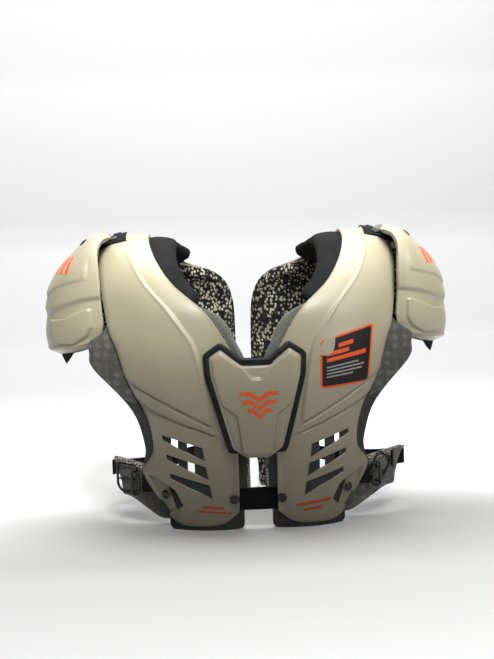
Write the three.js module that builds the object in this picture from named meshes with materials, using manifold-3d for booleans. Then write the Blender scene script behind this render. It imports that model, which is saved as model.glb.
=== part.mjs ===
// Youth football shoulder pads: two hard shells that arch over the shoulders, a sternum plate, shoulder caps,
// and the foam pads, straps and buckles that go with them. Millimetres, +Z up, the chest faces -Y, and the
// pads stand on the lower edges of their foam. The right side (+X) is worked out, and the left mirrors it.
import * as THREE from "three";
import { mergeVertices } from "three/addons/utils/BufferGeometryUtils.js";
import Module from "manifold-3d";

const wasm = await Module();
wasm.setup();

// Driving sizes
const HALF_WIDTH = 160; // centre line to the shell's arm edge
const HEIGHT = 308; // floor to the top of the neck edge
const CHEST_DEPTH = 127; // middle of the shoulder to the chest's crown
const BACK_DEPTH = 116; // middle of the shoulder to the back's crown
const CLEARANCE = 0.3; // between pieces that touch

const SHELL_WALL = 3;
const CUT_MARGIN = 20; // how far a cutter starts in front of the chest
const PLATEAU = 2.4; // the raised outer field of the shell
const RIDGE_RAMP = 0.016; // half the ramp beside the ridge, as a share of a row

const PAD_GAP = 0.6; // between the shell and its foam, whose faces are cut in other places
const PAD_THICKNESS = 12;
const PAD_EDGE = 5;
const PAD_EDGE_BAND = 7;
const PAD_FOOT_RISE = 11; // at the corners of the foot, which is flat along its middle
const PAD_FOOT_FLAT = 0.5;

const CAP_PAST = 63; // the shell's arm edge to the cap's widest point
const CAP_DEPTH = 74; // middle of the shoulder to the cap's front edge
const CAP_WALL = 3;
const CAP_PAD_THICKNESS = 8;
const CAP_PAD_TIP = 13;

// The shell's sections, from the front's lower edge over the shoulder to the back's lower edge. A section
// runs from its neck end (in) to its arm end (out). X is a share of HALF_WIDTH, Y of the depth on its side,
// Z of HEIGHT; bulge and sag are shares of HALF_WIDTH, ridge is a share of the section's own length, and
// padIn and padOut are what the foam shows past the shell, as shares of HALF_WIDTH.
const ARCH = table(
  "inX   inY   inZ   outX   outY   outZ   bulge  sag   ridge padIn  padOut",
  `0.120 -0.920 0.061 0.594 -0.780 0.055  0.060  0.085 0.30  0.070  0.030
   0.120 -0.955 0.146 0.750 -0.695 0.182  0.065  0     0.28  0.075  0.000
   0.120 -0.975 0.214 0.678 -0.745 0.266  0.065  0     0.26  0.075  0.080
   0.120 -0.990 0.273 0.712 -0.728 0.370  0.065  0     0.24  0.075  0.085
   0.120 -1.000 0.325 0.812 -0.690 0.484  0.068  0     0.22  0.075  0.165
   0.122 -0.985 0.455 0.860 -0.660 0.568  0.070  0     0.25  0.075  0.190
   0.128 -0.955 0.558 0.890 -0.635 0.618  0.068  0     0.28  0.075  0.180
   0.181 -0.925 0.627 0.928 -0.590 0.665  0.062  0     0.28  0.075  0.060
   0.312 -0.860 0.730 0.956 -0.525 0.734  0.055  0     0.32  0.070 -0.020
   0.494 -0.690 0.815 0.978 -0.450 0.812  0.045  0     0.36 -0.150 -0.020
   0.600 -0.490 0.893 0.991 -0.330 0.880  0.038  0     0.39 -0.080 -0.020
   0.653 -0.250 0.961 0.997 -0.170 0.938  0.030  0     0.42 -0.060 -0.020
   0.656  0     0.997 1.000  0     0.960  0.028  0     0.43 -0.060 -0.020
   0.644  0.220 0.984 0.997  0.190 0.938  0.030  0     0.42 -0.060 -0.020
   0.581  0.430 0.948 0.991  0.360 0.880  0.038  0     0.39 -0.060 -0.020
   0.450  0.590 0.909 0.978  0.490 0.812  0.045  0     0.36 -0.020 -0.020
   0.300  0.730 0.870 0.956  0.580 0.734  0.055  0     0.32  0.050 -0.020
   0.188  0.840 0.818 0.928  0.650 0.660  0.060  0     0.28  0.060  0.030
   0.125  0.910 0.731 0.875  0.700 0.585  0.062  0     0.26  0.060  0.050
   0.112  0.950 0.600 0.800  0.745 0.504  0.060  0     0.25  0.060  0.050
   0.112  0.975 0.455 0.690  0.800 0.406  0.050  0     0.25  0.060  0.040
   0.112  0.985 0.308 0.540  0.870 0.300  0.040  0     0.25  0.060  0.030
   0.112  0.965 0.180 0.400  0.900 0.180  0.030  0     0.25  0.060  0.025
   0.112  0.930 0.050 0.375  0.880 0.050  0.030  0.040 0.25  0.060  0.025`,
);
const SHOULDER_ROW = 12; // the section on top of the shoulder
const CREASE_ROW = 4; // the plateau ends here, above the vented panel
const CREASE_STEP = 0.3; // the crease's slope, in sections
const SHELL_STATIONS = [
  0, 0.5, 1, 1.5, 2, 3, CREASE_ROW - CREASE_STEP, CREASE_ROW, 5, 6, 7, 7.5, 8, 8.5, 9, 9.5, 10, 10.5, 11,
  11.5, 12, 12.5, 13, 13.5, 14, 14.5, 15, 16, 17, 18, 19, 20, 21, 22, 22.5, 23,
];

// The shoulder cap's sections, from its top lip to its lower rim. Each runs from its front corner round the
// outside to the back corner: X is a share of CAP_PAST beyond the shell's arm edge, depth a share of CAP_DEPTH
// and Z a share of HEIGHT.
const CAP = table(
  "cornerX cornerDepth cornerZ outX  outZ  round",
  `-0.207  0.480       0.981   -0.140 1.000 1
   -0.080  0.730       0.965   0.158  0.985 1
   -0.030  0.900       0.926   0.469  0.926 1
   -0.048  0.970       0.880   0.696  0.872 1
   -0.062  1.000       0.828   0.844  0.820 1
   -0.062  1.000       0.778   0.922  0.768 1
   -0.080  1.000       0.728   0.972  0.710 0.8
   -0.094  0.985       0.688   1.000  0.655 0.6
   -0.062  0.920       0.660   0.947  0.600 0.4
   0.009   0.860       0.645   0.805  0.578 0.35`,
);
const CAP_STEPS = 14;
const CAP_BAND_ROW = 5; // down to this row the cap's face is raised by one step
const CAP_BAND_HEIGHT = 1.6;
const CAP_PAD_ROW = 2; // the pad starts at this row
const CAP_PAD_EDGE = 3;
const CAP_PAD_SHOWS = 2;
const CAP_PAD_TIP_COLUMN = 10;

// Vents and strap window of the front panel: points as X from the centre line and Z above the floor, shares
// of HALF_WIDTH and HEIGHT. Each next vent is lower and nearer the centre by the same step.
const VENT = table(
  "x     z",
  `0.353 0.280
   0.601 0.319
   0.598 0.303
   0.464 0.268
   0.436 0.263
   0.340 0.237`,
);
const VENT_COUNT = 3;
const VENT_STEP = { x: -0.021, z: -0.064 };
const WINDOW = table(
  "x     z",
  `0.572 0.143
   0.541 0.135
   0.497 0.084
   0.526 0.071`,
);
const PAD_SLITS = [0.422, 0.525]; // centres of the slits that show through the vents, of HALF_WIDTH
const PAD_SLIT_WIDTH = 7;
const PAD_SLIT_LOW = 0.188; // of HEIGHT
const PAD_SLIT_HIGH = 0.334;

// The sternum plate's outline, its gasket and its raised tongue: X of HALF_WIDTH, Z of HEIGHT, right half
const STERNUM = table(
  "x     z",
  `0     0.555
   0.104 0.556
   0.218 0.604
   0.291 0.578
   0.281 0.516
   0.157 0.282
   0.072 0.249`,
);
const STERNUM_THICKNESS = 4;
const STERNUM_BEVEL = 1.6;
const GASKET_BAND = 12;
const GASKET_SHOWS = 5;
const GASKET_THICKNESS = 5;
const TONGUE = table(
  "x     z",
  `0     0.375
   0.100 0.380
   0.187 0.420
   0.106 0.300
   0.070 0.262`,
);
const TONGUE_HEIGHT = 1.2;

const GASKET_LOW_CUT = 20;

const NECK_ROLL_END = 0.8;
const NECK_ROLL = { width: 34, height: 17, reach: 11, sink: 10, front: 8.5, back: 14.6, sides: 10 };

const RIVET_RADIUS = 4.2;
const RIVET_HEIGHT = 2.2;
const RIVET_SIDES = 12;
const INNER_RIVET = { x: 0.15, z: 0.104 }; // shares of HALF_WIDTH and HEIGHT
const OUTER_RIVET = { x: 0.597, z: 0.1185 };
const RIVET_LIFT = 0.2;
const ARCH_RIVETS = [
  { u: 11.7, t: 0.68 },
  { u: 12.5, t: 0.6 },
];
const CAP_RIVETS = [
  { v: 1.1, w: 0.3 },
  { v: 1.1, w: -0.3 },
];

// The strap between the front panels: shares of HALF_WIDTH and HEIGHT, and its thickness
const FRONT_STRAP = { reach: 0.206, low: 0.065, high: 0.138, thickness: 2 };

const CAP_STRAP_THICKNESS = 1.6;
const CAP_STRAP = {
  sections: [11, 11.5, 12, 12.5, 13],
  columns: [4, 5, 6, 7],
  past: 8,
};

// The flap under the arm: its front face seen from above, and its lower and upper edge, with X and Y as
// shares of HALF_WIDTH and CHEST_DEPTH and heights of HEIGHT. It reaches further on the right than the left.
const FLAP = table(
  "x     y      low   high",
  `0.560 -0.655 0.020 0.170
   0.640 -0.630 0.024 0.195
   0.760 -0.590 0.062 0.208
   0.870 -0.500 0.090 0.218
   0.985 -0.400 0.094 0.226`,
);
const FLAP_LEVELS = [0, 0.5, 1];
const FLAP_END_SLANT = 0.065;
const FLAP_THICKNESS = 7;
const SLEEVE_THICKNESS = 2;

const BELT = { level: 0.188, width: 16, thickness: 1.6 }; // level is a share of HEIGHT
const BELT_LOW = BELT.level * HEIGHT - BELT.width / 2;
const BELT_ROUTE = table(
  "x     y      z",
  `0.940 -0.200 0.172
   0.860  0.150 0.148
   0.640  0.640 0.125`,
);
const BELT_END = { u: 22.3, ts: [1, 0.85, 0.7], lift: 1.3 };

const WIRE = 2.8;
const RING_LIFT = CLEARANCE + WIRE / 2;
const LOOP = { wide: 12, high: 27, level: 0.143 }; // level is a share of HEIGHT
const TAB = { sections: [0.55, 0.75, 0.97], low: 0.117, high: 0.172, thickness: 2 };
const RING = table(
  "x    z",
  `-0.5  0.45
    0.5  0.50
    0.5 -0.28
    0.3 -0.46
   -0.2 -0.50
   -0.5 -0.40`,
);
const RING_HIGH = 28;
// Where each side's belt parts are: X as shares of HALF_WIDTH and Z of HEIGHT
const SIDES = {
  right: {
    flapReach: 1.03,
    loopX: 0.7875,
    loopAbove: 1.1,
    ringX: 0.825,
    ringZ: 0.162,
    ringWide: 18,
    ringTurn: 36,
    beltStart: 0.919,
    sleeveStart: 0.925,
  },
  left: {
    flapReach: 0.955,
    loopX: 0.775,
    loopAbove: 0.5,
    ringX: 0.844,
    ringZ: 0.156,
    ringWide: 24,
    ringTurn: 0,
    beltStart: 0.934,
  },
};

const SHELL_COLOUR = 0x9c9482;
const PAD_COLOUR = 0x4c4b45;
const BLACK = 0x17181a;

function table(columns, text) {
  const names = columns.trim().split(/\s+/);
  const rows = text.trim().split("\n");
  return rows.map((row) => {
    const values = row.trim().split(/\s+/).map(Number);
    return Object.fromEntries(names.map((name, i) => [name, values[i]]));
  });
}

// A table's row at a fractional index, on a smooth curve through the rows.
function blend(rows, u) {
  const i = Math.max(0, Math.min(Math.floor(u), rows.length - 2));
  const f = u - i;
  const at = (k) => rows[Math.max(0, Math.min(rows.length - 1, k))];
  const row = {};
  for (const name of Object.keys(rows[0])) {
    const [a, b, c, d] = [at(i - 1)[name], at(i)[name], at(i + 1)[name], at(i + 2)[name]];
    const linear = (c - a) * f;
    const square = (2 * a - 5 * b + 4 * c - d) * f * f;
    const cube = (3 * b - a - 3 * c + d) * f * f * f;
    row[name] = (2 * b + linear + square + cube) / 2;
  }
  return row;
}

function archDepth(share) {
  return share * (share < 0 ? CHEST_DEPTH : BACK_DEPTH);
}

function archEnds(u) {
  const row = blend(ARCH, u);
  return {
    row,
    neck: new THREE.Vector3(row.inX * HALF_WIDTH, archDepth(row.inY), row.inZ * HEIGHT),
    arm: new THREE.Vector3(row.outX * HALF_WIDTH, archDepth(row.outY), row.outZ * HEIGHT),
  };
}

// The shell's outer face without its relief, at section u and share t from neck to arm.
function archPoint(u, t) {
  const { row, neck, arm } = archEnds(u);
  const step = 0.05;
  const before = archEnds(Math.max(0, u - step));
  const after = archEnds(Math.min(ARCH.length - 1, u + step));
  const along = after.neck.add(after.arm).sub(before.neck).sub(before.arm);
  const out = arm.clone().sub(neck).cross(along).normalize();
  const point = neck.lerp(arm, t).addScaledVector(out, row.bulge * HALF_WIDTH * 4 * t * (1 - t));
  point.z -= row.sag * HALF_WIDTH * (1 - Math.pow(2 * t - 1, 4));
  return point;
}

// The face's point, outward normal and direction from neck to arm. Past 0 or 1 the face runs on straight.
function archFrame(u, t) {
  const step = 0.01;
  const ts = Math.max(step, Math.min(1 - step, t));
  const us = Math.max(step, Math.min(ARCH.length - 1 - step, u));
  const across = archPoint(us, ts + step).sub(archPoint(us, ts - step)).normalize();
  const along = archPoint(us + step, ts).sub(archPoint(us - step, ts)).normalize();
  const normal = across.clone().cross(along).normalize();
  return { point: archPoint(u, Math.max(0, Math.min(1, t))), normal, across };
}

function relief(u, t) {
  const ridge = blend(ARCH, u).ridge;
  return u > CREASE_ROW - CREASE_STEP / 2 && t > ridge ? PLATEAU : 0;
}

function columnsOf(u) {
  const ridge = blend(ARCH, u).ridge;
  const field = [1 / 4, 1 / 2, 3 / 4, 1].map((share) => ridge + (1 - ridge) * share);
  return [0, ridge / 2, ridge - RIDGE_RAMP, ridge + RIDGE_RAMP, ...field];
}

// A closed solid between two grids of points of the same size, outer first.
function solidBetween(outer, inner) {
  const rows = outer.length;
  const columns = outer[0].length;
  const positions = [...outer.flat(), ...inner.flat()].flatMap((p) => [p.x, p.y, p.z]);
  const index = (layer, i, j) => layer * rows * columns + i * columns + j;
  const faces = [];
  const quad = (a, b, c, d) => faces.push(a, b, c, a, c, d);
  for (let i = 0; i < rows - 1; i += 1) {
    for (let j = 0; j < columns - 1; j += 1) {
      quad(index(0, i, j), index(0, i, j + 1), index(0, i + 1, j + 1), index(0, i + 1, j));
      quad(index(1, i, j), index(1, i + 1, j), index(1, i + 1, j + 1), index(1, i, j + 1));
    }
  }
  for (let i = 0; i < rows - 1; i += 1) {
    const j = columns - 1;
    quad(index(0, i, 0), index(0, i + 1, 0), index(1, i + 1, 0), index(1, i, 0));
    quad(index(0, i, j), index(1, i, j), index(1, i + 1, j), index(0, i + 1, j));
  }
  for (let j = 0; j < columns - 1; j += 1) {
    const i = rows - 1;
    quad(index(0, 0, j), index(1, 0, j), index(1, 0, j + 1), index(0, 0, j + 1));
    quad(index(0, i, j), index(0, i, j + 1), index(1, i, j + 1), index(1, i, j));
  }
  return solidOf(positions, faces);
}

function solidOf(positions, faces) {
  return new wasm.Manifold(
    new wasm.Mesh({
      numProp: 3,
      vertProperties: new Float32Array(positions),
      triVerts: new Uint32Array(faces),
    }),
  );
}

function solidOfGeometry(geometry) {
  const plain = geometry.clone();
  plain.deleteAttribute("normal");
  plain.deleteAttribute("uv");
  const merged = mergeVertices(plain, 1e-4);
  return solidOf(merged.attributes.position.array, merged.index.array);
}

function geometryOf(solid) {
  const mesh = solid.getMesh();
  const geometry = new THREE.BufferGeometry();
  geometry.setAttribute("position", new THREE.BufferAttribute(mesh.vertProperties, 3));
  geometry.setIndex(new THREE.BufferAttribute(mesh.triVerts, 1));
  geometry.computeVertexNormals();
  return geometry;
}

// A shape whose points run counter-clockwise, which a shape with a hole needs.
function frontShape(points) {
  const flat = points.map((p) => new THREE.Vector2(p.x, p.z));
  return new THREE.Shape(THREE.ShapeUtils.isClockWise(flat) ? flat.reverse() : flat);
}

// A shape in X and Z, given depth along Y from its front.
function prism(shape, front, depth, options = {}) {
  const geometry = new THREE.ExtrudeGeometry(shape, { depth, bevelEnabled: false, ...options });
  geometry.rotateX(Math.PI / 2);
  geometry.translate(0, front + depth, 0);
  return geometry;
}

function sized(rows) {
  return rows.map((row) => ({ x: row.x * HALF_WIDTH, z: row.z * HEIGHT }));
}

function shellSolid(outward = 0) {
  const outer = [];
  const inner = [];
  for (const u of SHELL_STATIONS) {
    const frames = columnsOf(u).map((t) => ({ t, ...archFrame(u, t) }));
    outer.push(
      frames.map(({ t, point, normal }) => point.clone().addScaledVector(normal, relief(u, t) + outward)),
    );
    inner.push(frames.map(({ point, normal }) => point.clone().addScaledVector(normal, -SHELL_WALL)));
  }
  return solidBetween(outer, inner);
}

function ventPoints(k) {
  return sized(VENT.map((p) => ({ x: p.x + k * VENT_STEP.x, z: p.z + k * VENT_STEP.z })));
}

function frontCut(points) {
  return solidOfGeometry(prism(frontShape(points), -CHEST_DEPTH - CUT_MARGIN, CHEST_DEPTH));
}

function makeShell() {
  let shell = shellSolid();
  for (let k = 0; k < VENT_COUNT; k += 1) {
    shell = shell.subtract(frontCut(ventPoints(k)));
  }
  return shell.subtract(frontCut(sized(WINDOW)));
}

// A foam pad under the shell, between two sections, thinner along its free edges. It stands on a foot below
// the section that ends the shell.
function padSolid(stations, foot) {
  const outer = [];
  const inner = [];
  const addRow = (u, atEdge, atFoot) => {
    const { row, neck, arm } = archEnds(u);
    const length = neck.distanceTo(arm);
    const start = (-row.padIn * HALF_WIDTH) / length;
    const stop = 1 + (row.padOut * HALF_WIDTH) / length;
    const spots = [
      [start, PAD_EDGE],
      [Math.max(0, start + PAD_EDGE_BAND / length), PAD_THICKNESS],
      ...columnsOf(u).slice(1, -1).map((t) => [t, PAD_THICKNESS]),
      [Math.min(1, stop - PAD_EDGE_BAND / length), PAD_THICKNESS],
      [stop, PAD_EDGE],
    ];
    const place = (share, depth, j) => {
      const t = Math.max(0, Math.min(1, share));
      const { point, normal, across } = archFrame(u, t);
      point.addScaledVector(across, (share - t) * length).addScaledVector(normal, -depth);
      const side = Math.abs((2 * j) / (spots.length - 1) - 1);
      if (atFoot) point.z = PAD_FOOT_RISE * Math.pow(Math.max(0, side - PAD_FOOT_FLAT) / (1 - PAD_FOOT_FLAT), 2);
      return point;
    };
    const seat = SHELL_WALL + PAD_GAP;
    outer.push(spots.map(([share], j) => place(share, seat, j)));
    inner.push(spots.map(([share, thick], j) => place(share, seat + (atEdge ? PAD_EDGE : thick), j)));
  };
  const last = stations.length - 1;
  if (foot === stations[0]) addRow(foot, true, true);
  stations.forEach((u, k) => addRow(u, u !== foot && (k === 0 || k === last), false));
  if (foot === stations[last]) addRow(foot, true, true);
  return solidBetween(outer, inner);
}

// The pad without the crumbs that a cut leaves along its edge.
function largestBody(solid) {
  return solid.decompose().reduce((a, b) => (a.volume() > b.volume() ? a : b));
}

function frontPad() {
  const stations = SHELL_STATIONS.filter((u) => u < SHOULDER_ROW);
  return padSolid(stations, 0);
}

function backPad() {
  const stations = SHELL_STATIONS.filter((u) => u > SHOULDER_ROW);
  return padSolid(stations, ARCH.length - 1);
}

// The cap's outer face at row v and w from the back corner (-1) round the outside to the front corner (1).
function capPoint(v, w) {
  const row = blend(CAP, v);
  const turn = (w * Math.PI) / 2;
  const out = Math.max(0, Math.cos(turn));
  const cornerX = HALF_WIDTH + row.cornerX * CAP_PAST;
  const outX = HALF_WIDTH + row.outX * CAP_PAST;
  const cornerZ = row.cornerZ * HEIGHT;
  return new THREE.Vector3(
    cornerX + (outX - cornerX) * out,
    -row.cornerDepth * CAP_DEPTH * Math.sin(turn),
    cornerZ + (row.outZ * HEIGHT - cornerZ) * Math.pow(out, row.round),
  );
}

function capFrame(v, w) {
  const step = 0.02;
  const vs = Math.max(step, Math.min(CAP.length - 1 - step, v));
  const ws = Math.max(step - 1, Math.min(1 - step, w));
  const round = capPoint(vs, ws + step).sub(capPoint(vs, ws - step));
  const down = capPoint(vs + step, ws).sub(capPoint(vs - step, ws));
  return { point: capPoint(v, w), normal: round.cross(down).normalize() };
}

function capColumns() {
  return Array.from({ length: CAP_STEPS + 1 }, (_, j) => (2 * j) / CAP_STEPS - 1);
}

function capGrid(rows, depth) {
  return rows.map((v) =>
    capColumns().map((w) => {
      const { point, normal } = capFrame(v, w);
      return point.addScaledVector(normal, -depth);
    }),
  );
}

function makeCap() {
  const rows = CAP.map((_, v) => v);
  const raised = (v) => (v <= CAP_BAND_ROW ? CAP_BAND_HEIGHT : 0);
  const outer = rows.map((v) => capGrid([v], -raised(v))[0]);
  return solidBetween(outer, capGrid(rows, CAP_WALL));
}

// The foam under the cap, whose lower edge hangs below the cap and has one pointed tip towards the front.
function makeCapPad() {
  const rows = [...CAP.map((_, v) => v).filter((v) => v >= CAP_PAD_ROW), CAP.length - 1];
  const seat = CAP_WALL + CLEARANCE;
  const grids = [seat, seat + CAP_PAD_THICKNESS].map((depth) => capGrid(rows, depth));
  const thin = capGrid(rows, seat + CAP_PAD_EDGE);
  grids[1].forEach((row, i) => {
    row[0] = thin[i][0];
    row[CAP_STEPS] = thin[i][CAP_STEPS];
  });
  for (const grid of grids) {
    grid[rows.length - 1].forEach((point, j) => {
      point.z -= j === CAP_PAD_TIP_COLUMN ? CAP_PAD_TIP : CAP_PAD_SHOWS;
    });
  }
  return solidBetween(grids[0], grids[1]);
}

// A closed solid through rings of points, each ring counter-clockwise seen from the last one.
function solidThrough(rings) {
  const sides = rings[0].length;
  const middle = (ring) => ring.reduce((sum, p) => sum.add(p), new THREE.Vector3()).divideScalar(sides);
  const ends = [middle(rings[0]), middle(rings[rings.length - 1])];
  const positions = [...rings.flat(), ...ends].flatMap((p) => [p.x, p.y, p.z]);
  const count = rings.length * sides;
  const faces = [];
  for (let j = 0; j < sides; j += 1) {
    const next = (j + 1) % sides;
    const top = (rings.length - 1) * sides;
    for (let i = 0; i < rings.length - 1; i += 1) {
      const [a, b] = [i * sides, (i + 1) * sides];
      faces.push(a + j, a + next, b + next, a + j, b + next, b + j);
    }
    faces.push(count, next, j, count + 1, top + j, top + next);
  }
  return solidOf(positions, faces);
}

function makeNeckRoll(extra = 0, lift = 0) {
  const { width, height, reach, front, back, sides } = NECK_ROLL;
  const sink = NECK_ROLL.sink - lift;
  const inside = SHELL_STATIONS.filter((u) => u > front && u < back);
  const stations = [front, ...inside, back];
  const rings = stations.map((u, k) => {
    const { point, normal, across } = archFrame(u, 0);
    const end = k === 0 || k === stations.length - 1;
    const size = end ? NECK_ROLL_END : 1;
    const centre = point.clone().addScaledVector(across, -reach).addScaledVector(normal, -sink);
    return Array.from({ length: sides }, (_, j) => {
      const turn = (-2 * Math.PI * j) / sides;
      const wide = (width / 2 + extra) * size * Math.cos(turn);
      const high = (height / 2 + extra) * size * Math.sin(turn);
      return centre.clone().addScaledVector(across, wide).addScaledVector(normal, high);
    });
  });
  return solidThrough(rings);
}

// Section and share of the shell's front that lie at x and z, found by halving steps.
function onFront(x, z) {
  let best = { u: 4, t: 0.5 };
  let miss = Infinity;
  for (let step = 0.5; step > 1e-3; step /= 2) {
    for (let moved = true; moved; ) {
      moved = false;
      const { u, t } = best;
      const tries = [[u + 4 * step, t], [u - 4 * step, t], [u, t + step], [u, t - step]];
      for (const [nu, nt] of tries) {
        const cu = Math.max(0, Math.min(SHOULDER_ROW, nu));
        const ct = Math.max(0, Math.min(1, nt));
        const p = archPoint(cu, ct);
        const error = Math.hypot(p.x - x, p.z - z);
        if (error < miss - 1e-6) {
          miss = error;
          best = { u: cu, t: ct };
          moved = true;
        }
      }
    }
  }
  return best;
}

function frontDepth(x, z) {
  const neck = ARCH[0].inX * HALF_WIDTH;
  const { u, t } = onFront(Math.max(neck, Math.abs(x)), z);
  return archPoint(u, t).y;
}

// Moves each point along Y by the shell's own depth there, so that a flat piece follows the chest.
function drape(geometry) {
  const position = geometry.attributes.position;
  for (let i = 0; i < position.count; i += 1) {
    position.setY(i, position.getY(i) + frontDepth(position.getX(i), position.getZ(i)));
  }
  return geometry;
}

function bothSides(half) {
  const left = half.filter((p) => p.x > 0).reverse().map((p) => ({ x: -p.x, z: p.z }));
  return [...half, ...left];
}

// An outline moved outward by a distance, corner by corner.
function grown(points, distance) {
  return points.map((p, i) => {
    const before = points[(i + points.length - 1) % points.length];
    const after = points[(i + 1) % points.length];
    const a = new THREE.Vector2(p.x - before.x, p.z - before.z).normalize();
    const b = new THREE.Vector2(after.x - p.x, after.z - p.z).normalize();
    const out = new THREE.Vector2(-(a.y + b.y), a.x + b.x).normalize();
    const lean = Math.max(0.5, out.dot(new THREE.Vector2(-a.y, a.x)));
    return { x: p.x + (out.x * distance) / lean, z: p.z + (out.y * distance) / lean };
  });
}

function makeSternum() {
  const outline = bothSides(sized(STERNUM));
  const back = -GASKET_THICKNESS - 2 * CLEARANCE - STERNUM_THICKNESS;
  const bevel = {
    bevelEnabled: true,
    bevelThickness: STERNUM_BEVEL,
    bevelSize: STERNUM_BEVEL,
    bevelOffset: -STERNUM_BEVEL,
    bevelSegments: 1,
  };
  const flat = STERNUM_THICKNESS - 2 * STERNUM_BEVEL;
  const plate = solidOfGeometry(drape(prism(frontShape(outline), back + STERNUM_BEVEL, flat, bevel)));
  const tongue = prism(frontShape(bothSides(sized(TONGUE))), back - TONGUE_HEIGHT, STERNUM_THICKNESS);
  return plate.add(solidOfGeometry(drape(tongue)));
}

// The rubber seal shows round the plate's top and sides and stops at its lower corners.
function makeGasket() {
  const outline = bothSides(sized(STERNUM));
  const ring = frontShape(grown(outline, GASKET_SHOWS));
  ring.holes.push(frontShape(grown(outline, GASKET_SHOWS - GASKET_BAND)));
  const reach = GASKET_THICKNESS + SHELL_WALL / 2;
  const back = -CLEARANCE - GASKET_THICKNESS;
  const band = solidOfGeometry(drape(prism(ring, back, reach)));
  const corner = outline[STERNUM.length - 2];
  const below = new THREE.BoxGeometry(4 * corner.x, CHEST_DEPTH, 2 * GASKET_LOW_CUT);
  below.translate(0, -CHEST_DEPTH, corner.z - GASKET_LOW_CUT);
  const shells = shellSolid(CLEARANCE);
  const seat = makeSternum().translate([0, CLEARANCE, 0]);
  const cuts = [solidOfGeometry(below), shells, mirrored(shells), seat];
  return largestBody(cuts.reduce((rest, cut) => rest.subtract(cut), band));
}

// A rivet's domed head, standing on a face at point along normal.
function rivet(point, normal) {
  const profile = [
    new THREE.Vector2(0, CLEARANCE),
    new THREE.Vector2(RIVET_RADIUS, CLEARANCE),
    new THREE.Vector2(RIVET_RADIUS, RIVET_HEIGHT / 2),
    new THREE.Vector2(RIVET_RADIUS * 0.7, RIVET_HEIGHT * 0.9),
    new THREE.Vector2(0, RIVET_HEIGHT),
  ];
  const head = new THREE.LatheGeometry(profile, RIVET_SIDES);
  const turn = new THREE.Quaternion().setFromUnitVectors(new THREE.Vector3(0, 1, 0), normal);
  head.applyQuaternion(turn);
  head.translate(point.x, point.y, point.z);
  return solidOfGeometry(head);
}

function shellRivet({ x, z }) {
  const { u, t } = onFront(x * HALF_WIDTH, z * HEIGHT);
  const { point, normal } = archFrame(u, t);
  return rivet(point.addScaledVector(normal, RIVET_LIFT), normal);
}

function archRivet({ u, t }) {
  const { point, normal } = archFrame(u, t);
  return rivet(point.addScaledVector(normal, PLATEAU + CLEARANCE + CAP_STRAP_THICKNESS), normal);
}

function capRivet({ v, w }) {
  const { point, normal } = capFrame(v, w);
  return rivet(point.addScaledVector(normal, CAP_BAND_HEIGHT + RIVET_LIFT), normal);
}

// The webbing that carries the cap: it lies on the shoulder and runs out under the cap's top lip.
function makeCapStrap() {
  const grid = (lift) =>
    CAP_STRAP.sections.map((u) => {
      const place = (t, past) => {
        const { point, normal, across } = archFrame(u, t);
        return point.addScaledVector(across, past).addScaledVector(normal, lift);
      };
      const ts = columnsOf(u);
      return [...CAP_STRAP.columns.map((j) => place(ts[j], 0)), place(1, CAP_STRAP.past)];
    });
  const seat = PLATEAU + CLEARANCE;
  return solidBetween(grid(seat + CAP_STRAP_THICKNESS), grid(seat));
}

// The strap's box, or with extra the room that it needs, reaching backInto behind its front.
function strapBox(extra = 0, backInto = 0) {
  const { reach, low, high, thickness } = FRONT_STRAP;
  const front = archPoint(0, 0).y + SHELL_WALL + CLEARANCE - extra - backInto;
  const deep = thickness + 2 * extra + backInto;
  const box = new THREE.BoxGeometry(2 * (reach * HALF_WIDTH + extra), deep, (high - low) * HEIGHT + 2 * extra);
  box.translate(0, front + deep / 2, ((low + high) / 2) * HEIGHT);
  return solidOfGeometry(box);
}

// A point of the flap's front face seen from above, with the way it runs, at a share of the flap's rows.
function flapFrame(k, reach) {
  const at = (i) => {
    const row = blend(FLAP, Math.max(0, Math.min(FLAP.length - 1, i)));
    const past = row.x - FLAP[1].x;
    const x = past > 0 ? FLAP[1].x + (past * (reach - FLAP[1].x)) / (1 - FLAP[1].x) : row.x;
    return { row, x: x * HALF_WIDTH, y: row.y * CHEST_DEPTH };
  };
  const [a, b] = [at(k - 0.1), at(k + 0.1)];
  const run = new THREE.Vector2(b.x - a.x, b.y - a.y).normalize();
  return { ...at(k), run };
}

function flapAt(x, reach) {
  let [low, high] = [0, FLAP.length - 1];
  for (let i = 0; i < 30; i += 1) {
    const middle = (low + high) / 2;
    if (flapFrame(middle, reach).x < x) low = middle;
    else high = middle;
  }
  return low;
}

function flapGrid(stations, reach, inward, lowest = 0) {
  return FLAP_LEVELS.map((level) =>
    stations.map((k) => {
      const { row, x, y, run } = flapFrame(k, reach);
      const low = Math.max(lowest, row.low * HEIGHT);
      const slant = k === FLAP.length - 1 ? FLAP_END_SLANT * (level - 1) * HALF_WIDTH : 0;
      const z = low + (row.high * HEIGHT - low) * level;
      return new THREE.Vector3(x + slant - run.y * inward, y + run.x * inward, z);
    }),
  );
}

// A band on edge through points, as high at each as its own width says.
function bandAlong(points, wide, thickness, extra = 0) {
  const grid = (side) =>
    [-1, 1].map((level) =>
      points.map((p, k) => {
        const a = points[Math.max(0, k - 1)];
        const b = points[Math.min(points.length - 1, k + 1)];
        const run = new THREE.Vector2(b.x - a.x, b.y - a.y).normalize();
        const inward = side * (thickness / 2 + extra);
        const half = level * (wide / 2 + extra);
        return new THREE.Vector3(p.x - run.y * inward, p.y + run.x * inward, p.z + half);
      }),
    );
  return solidBetween(grid(-1), grid(1));
}

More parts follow.
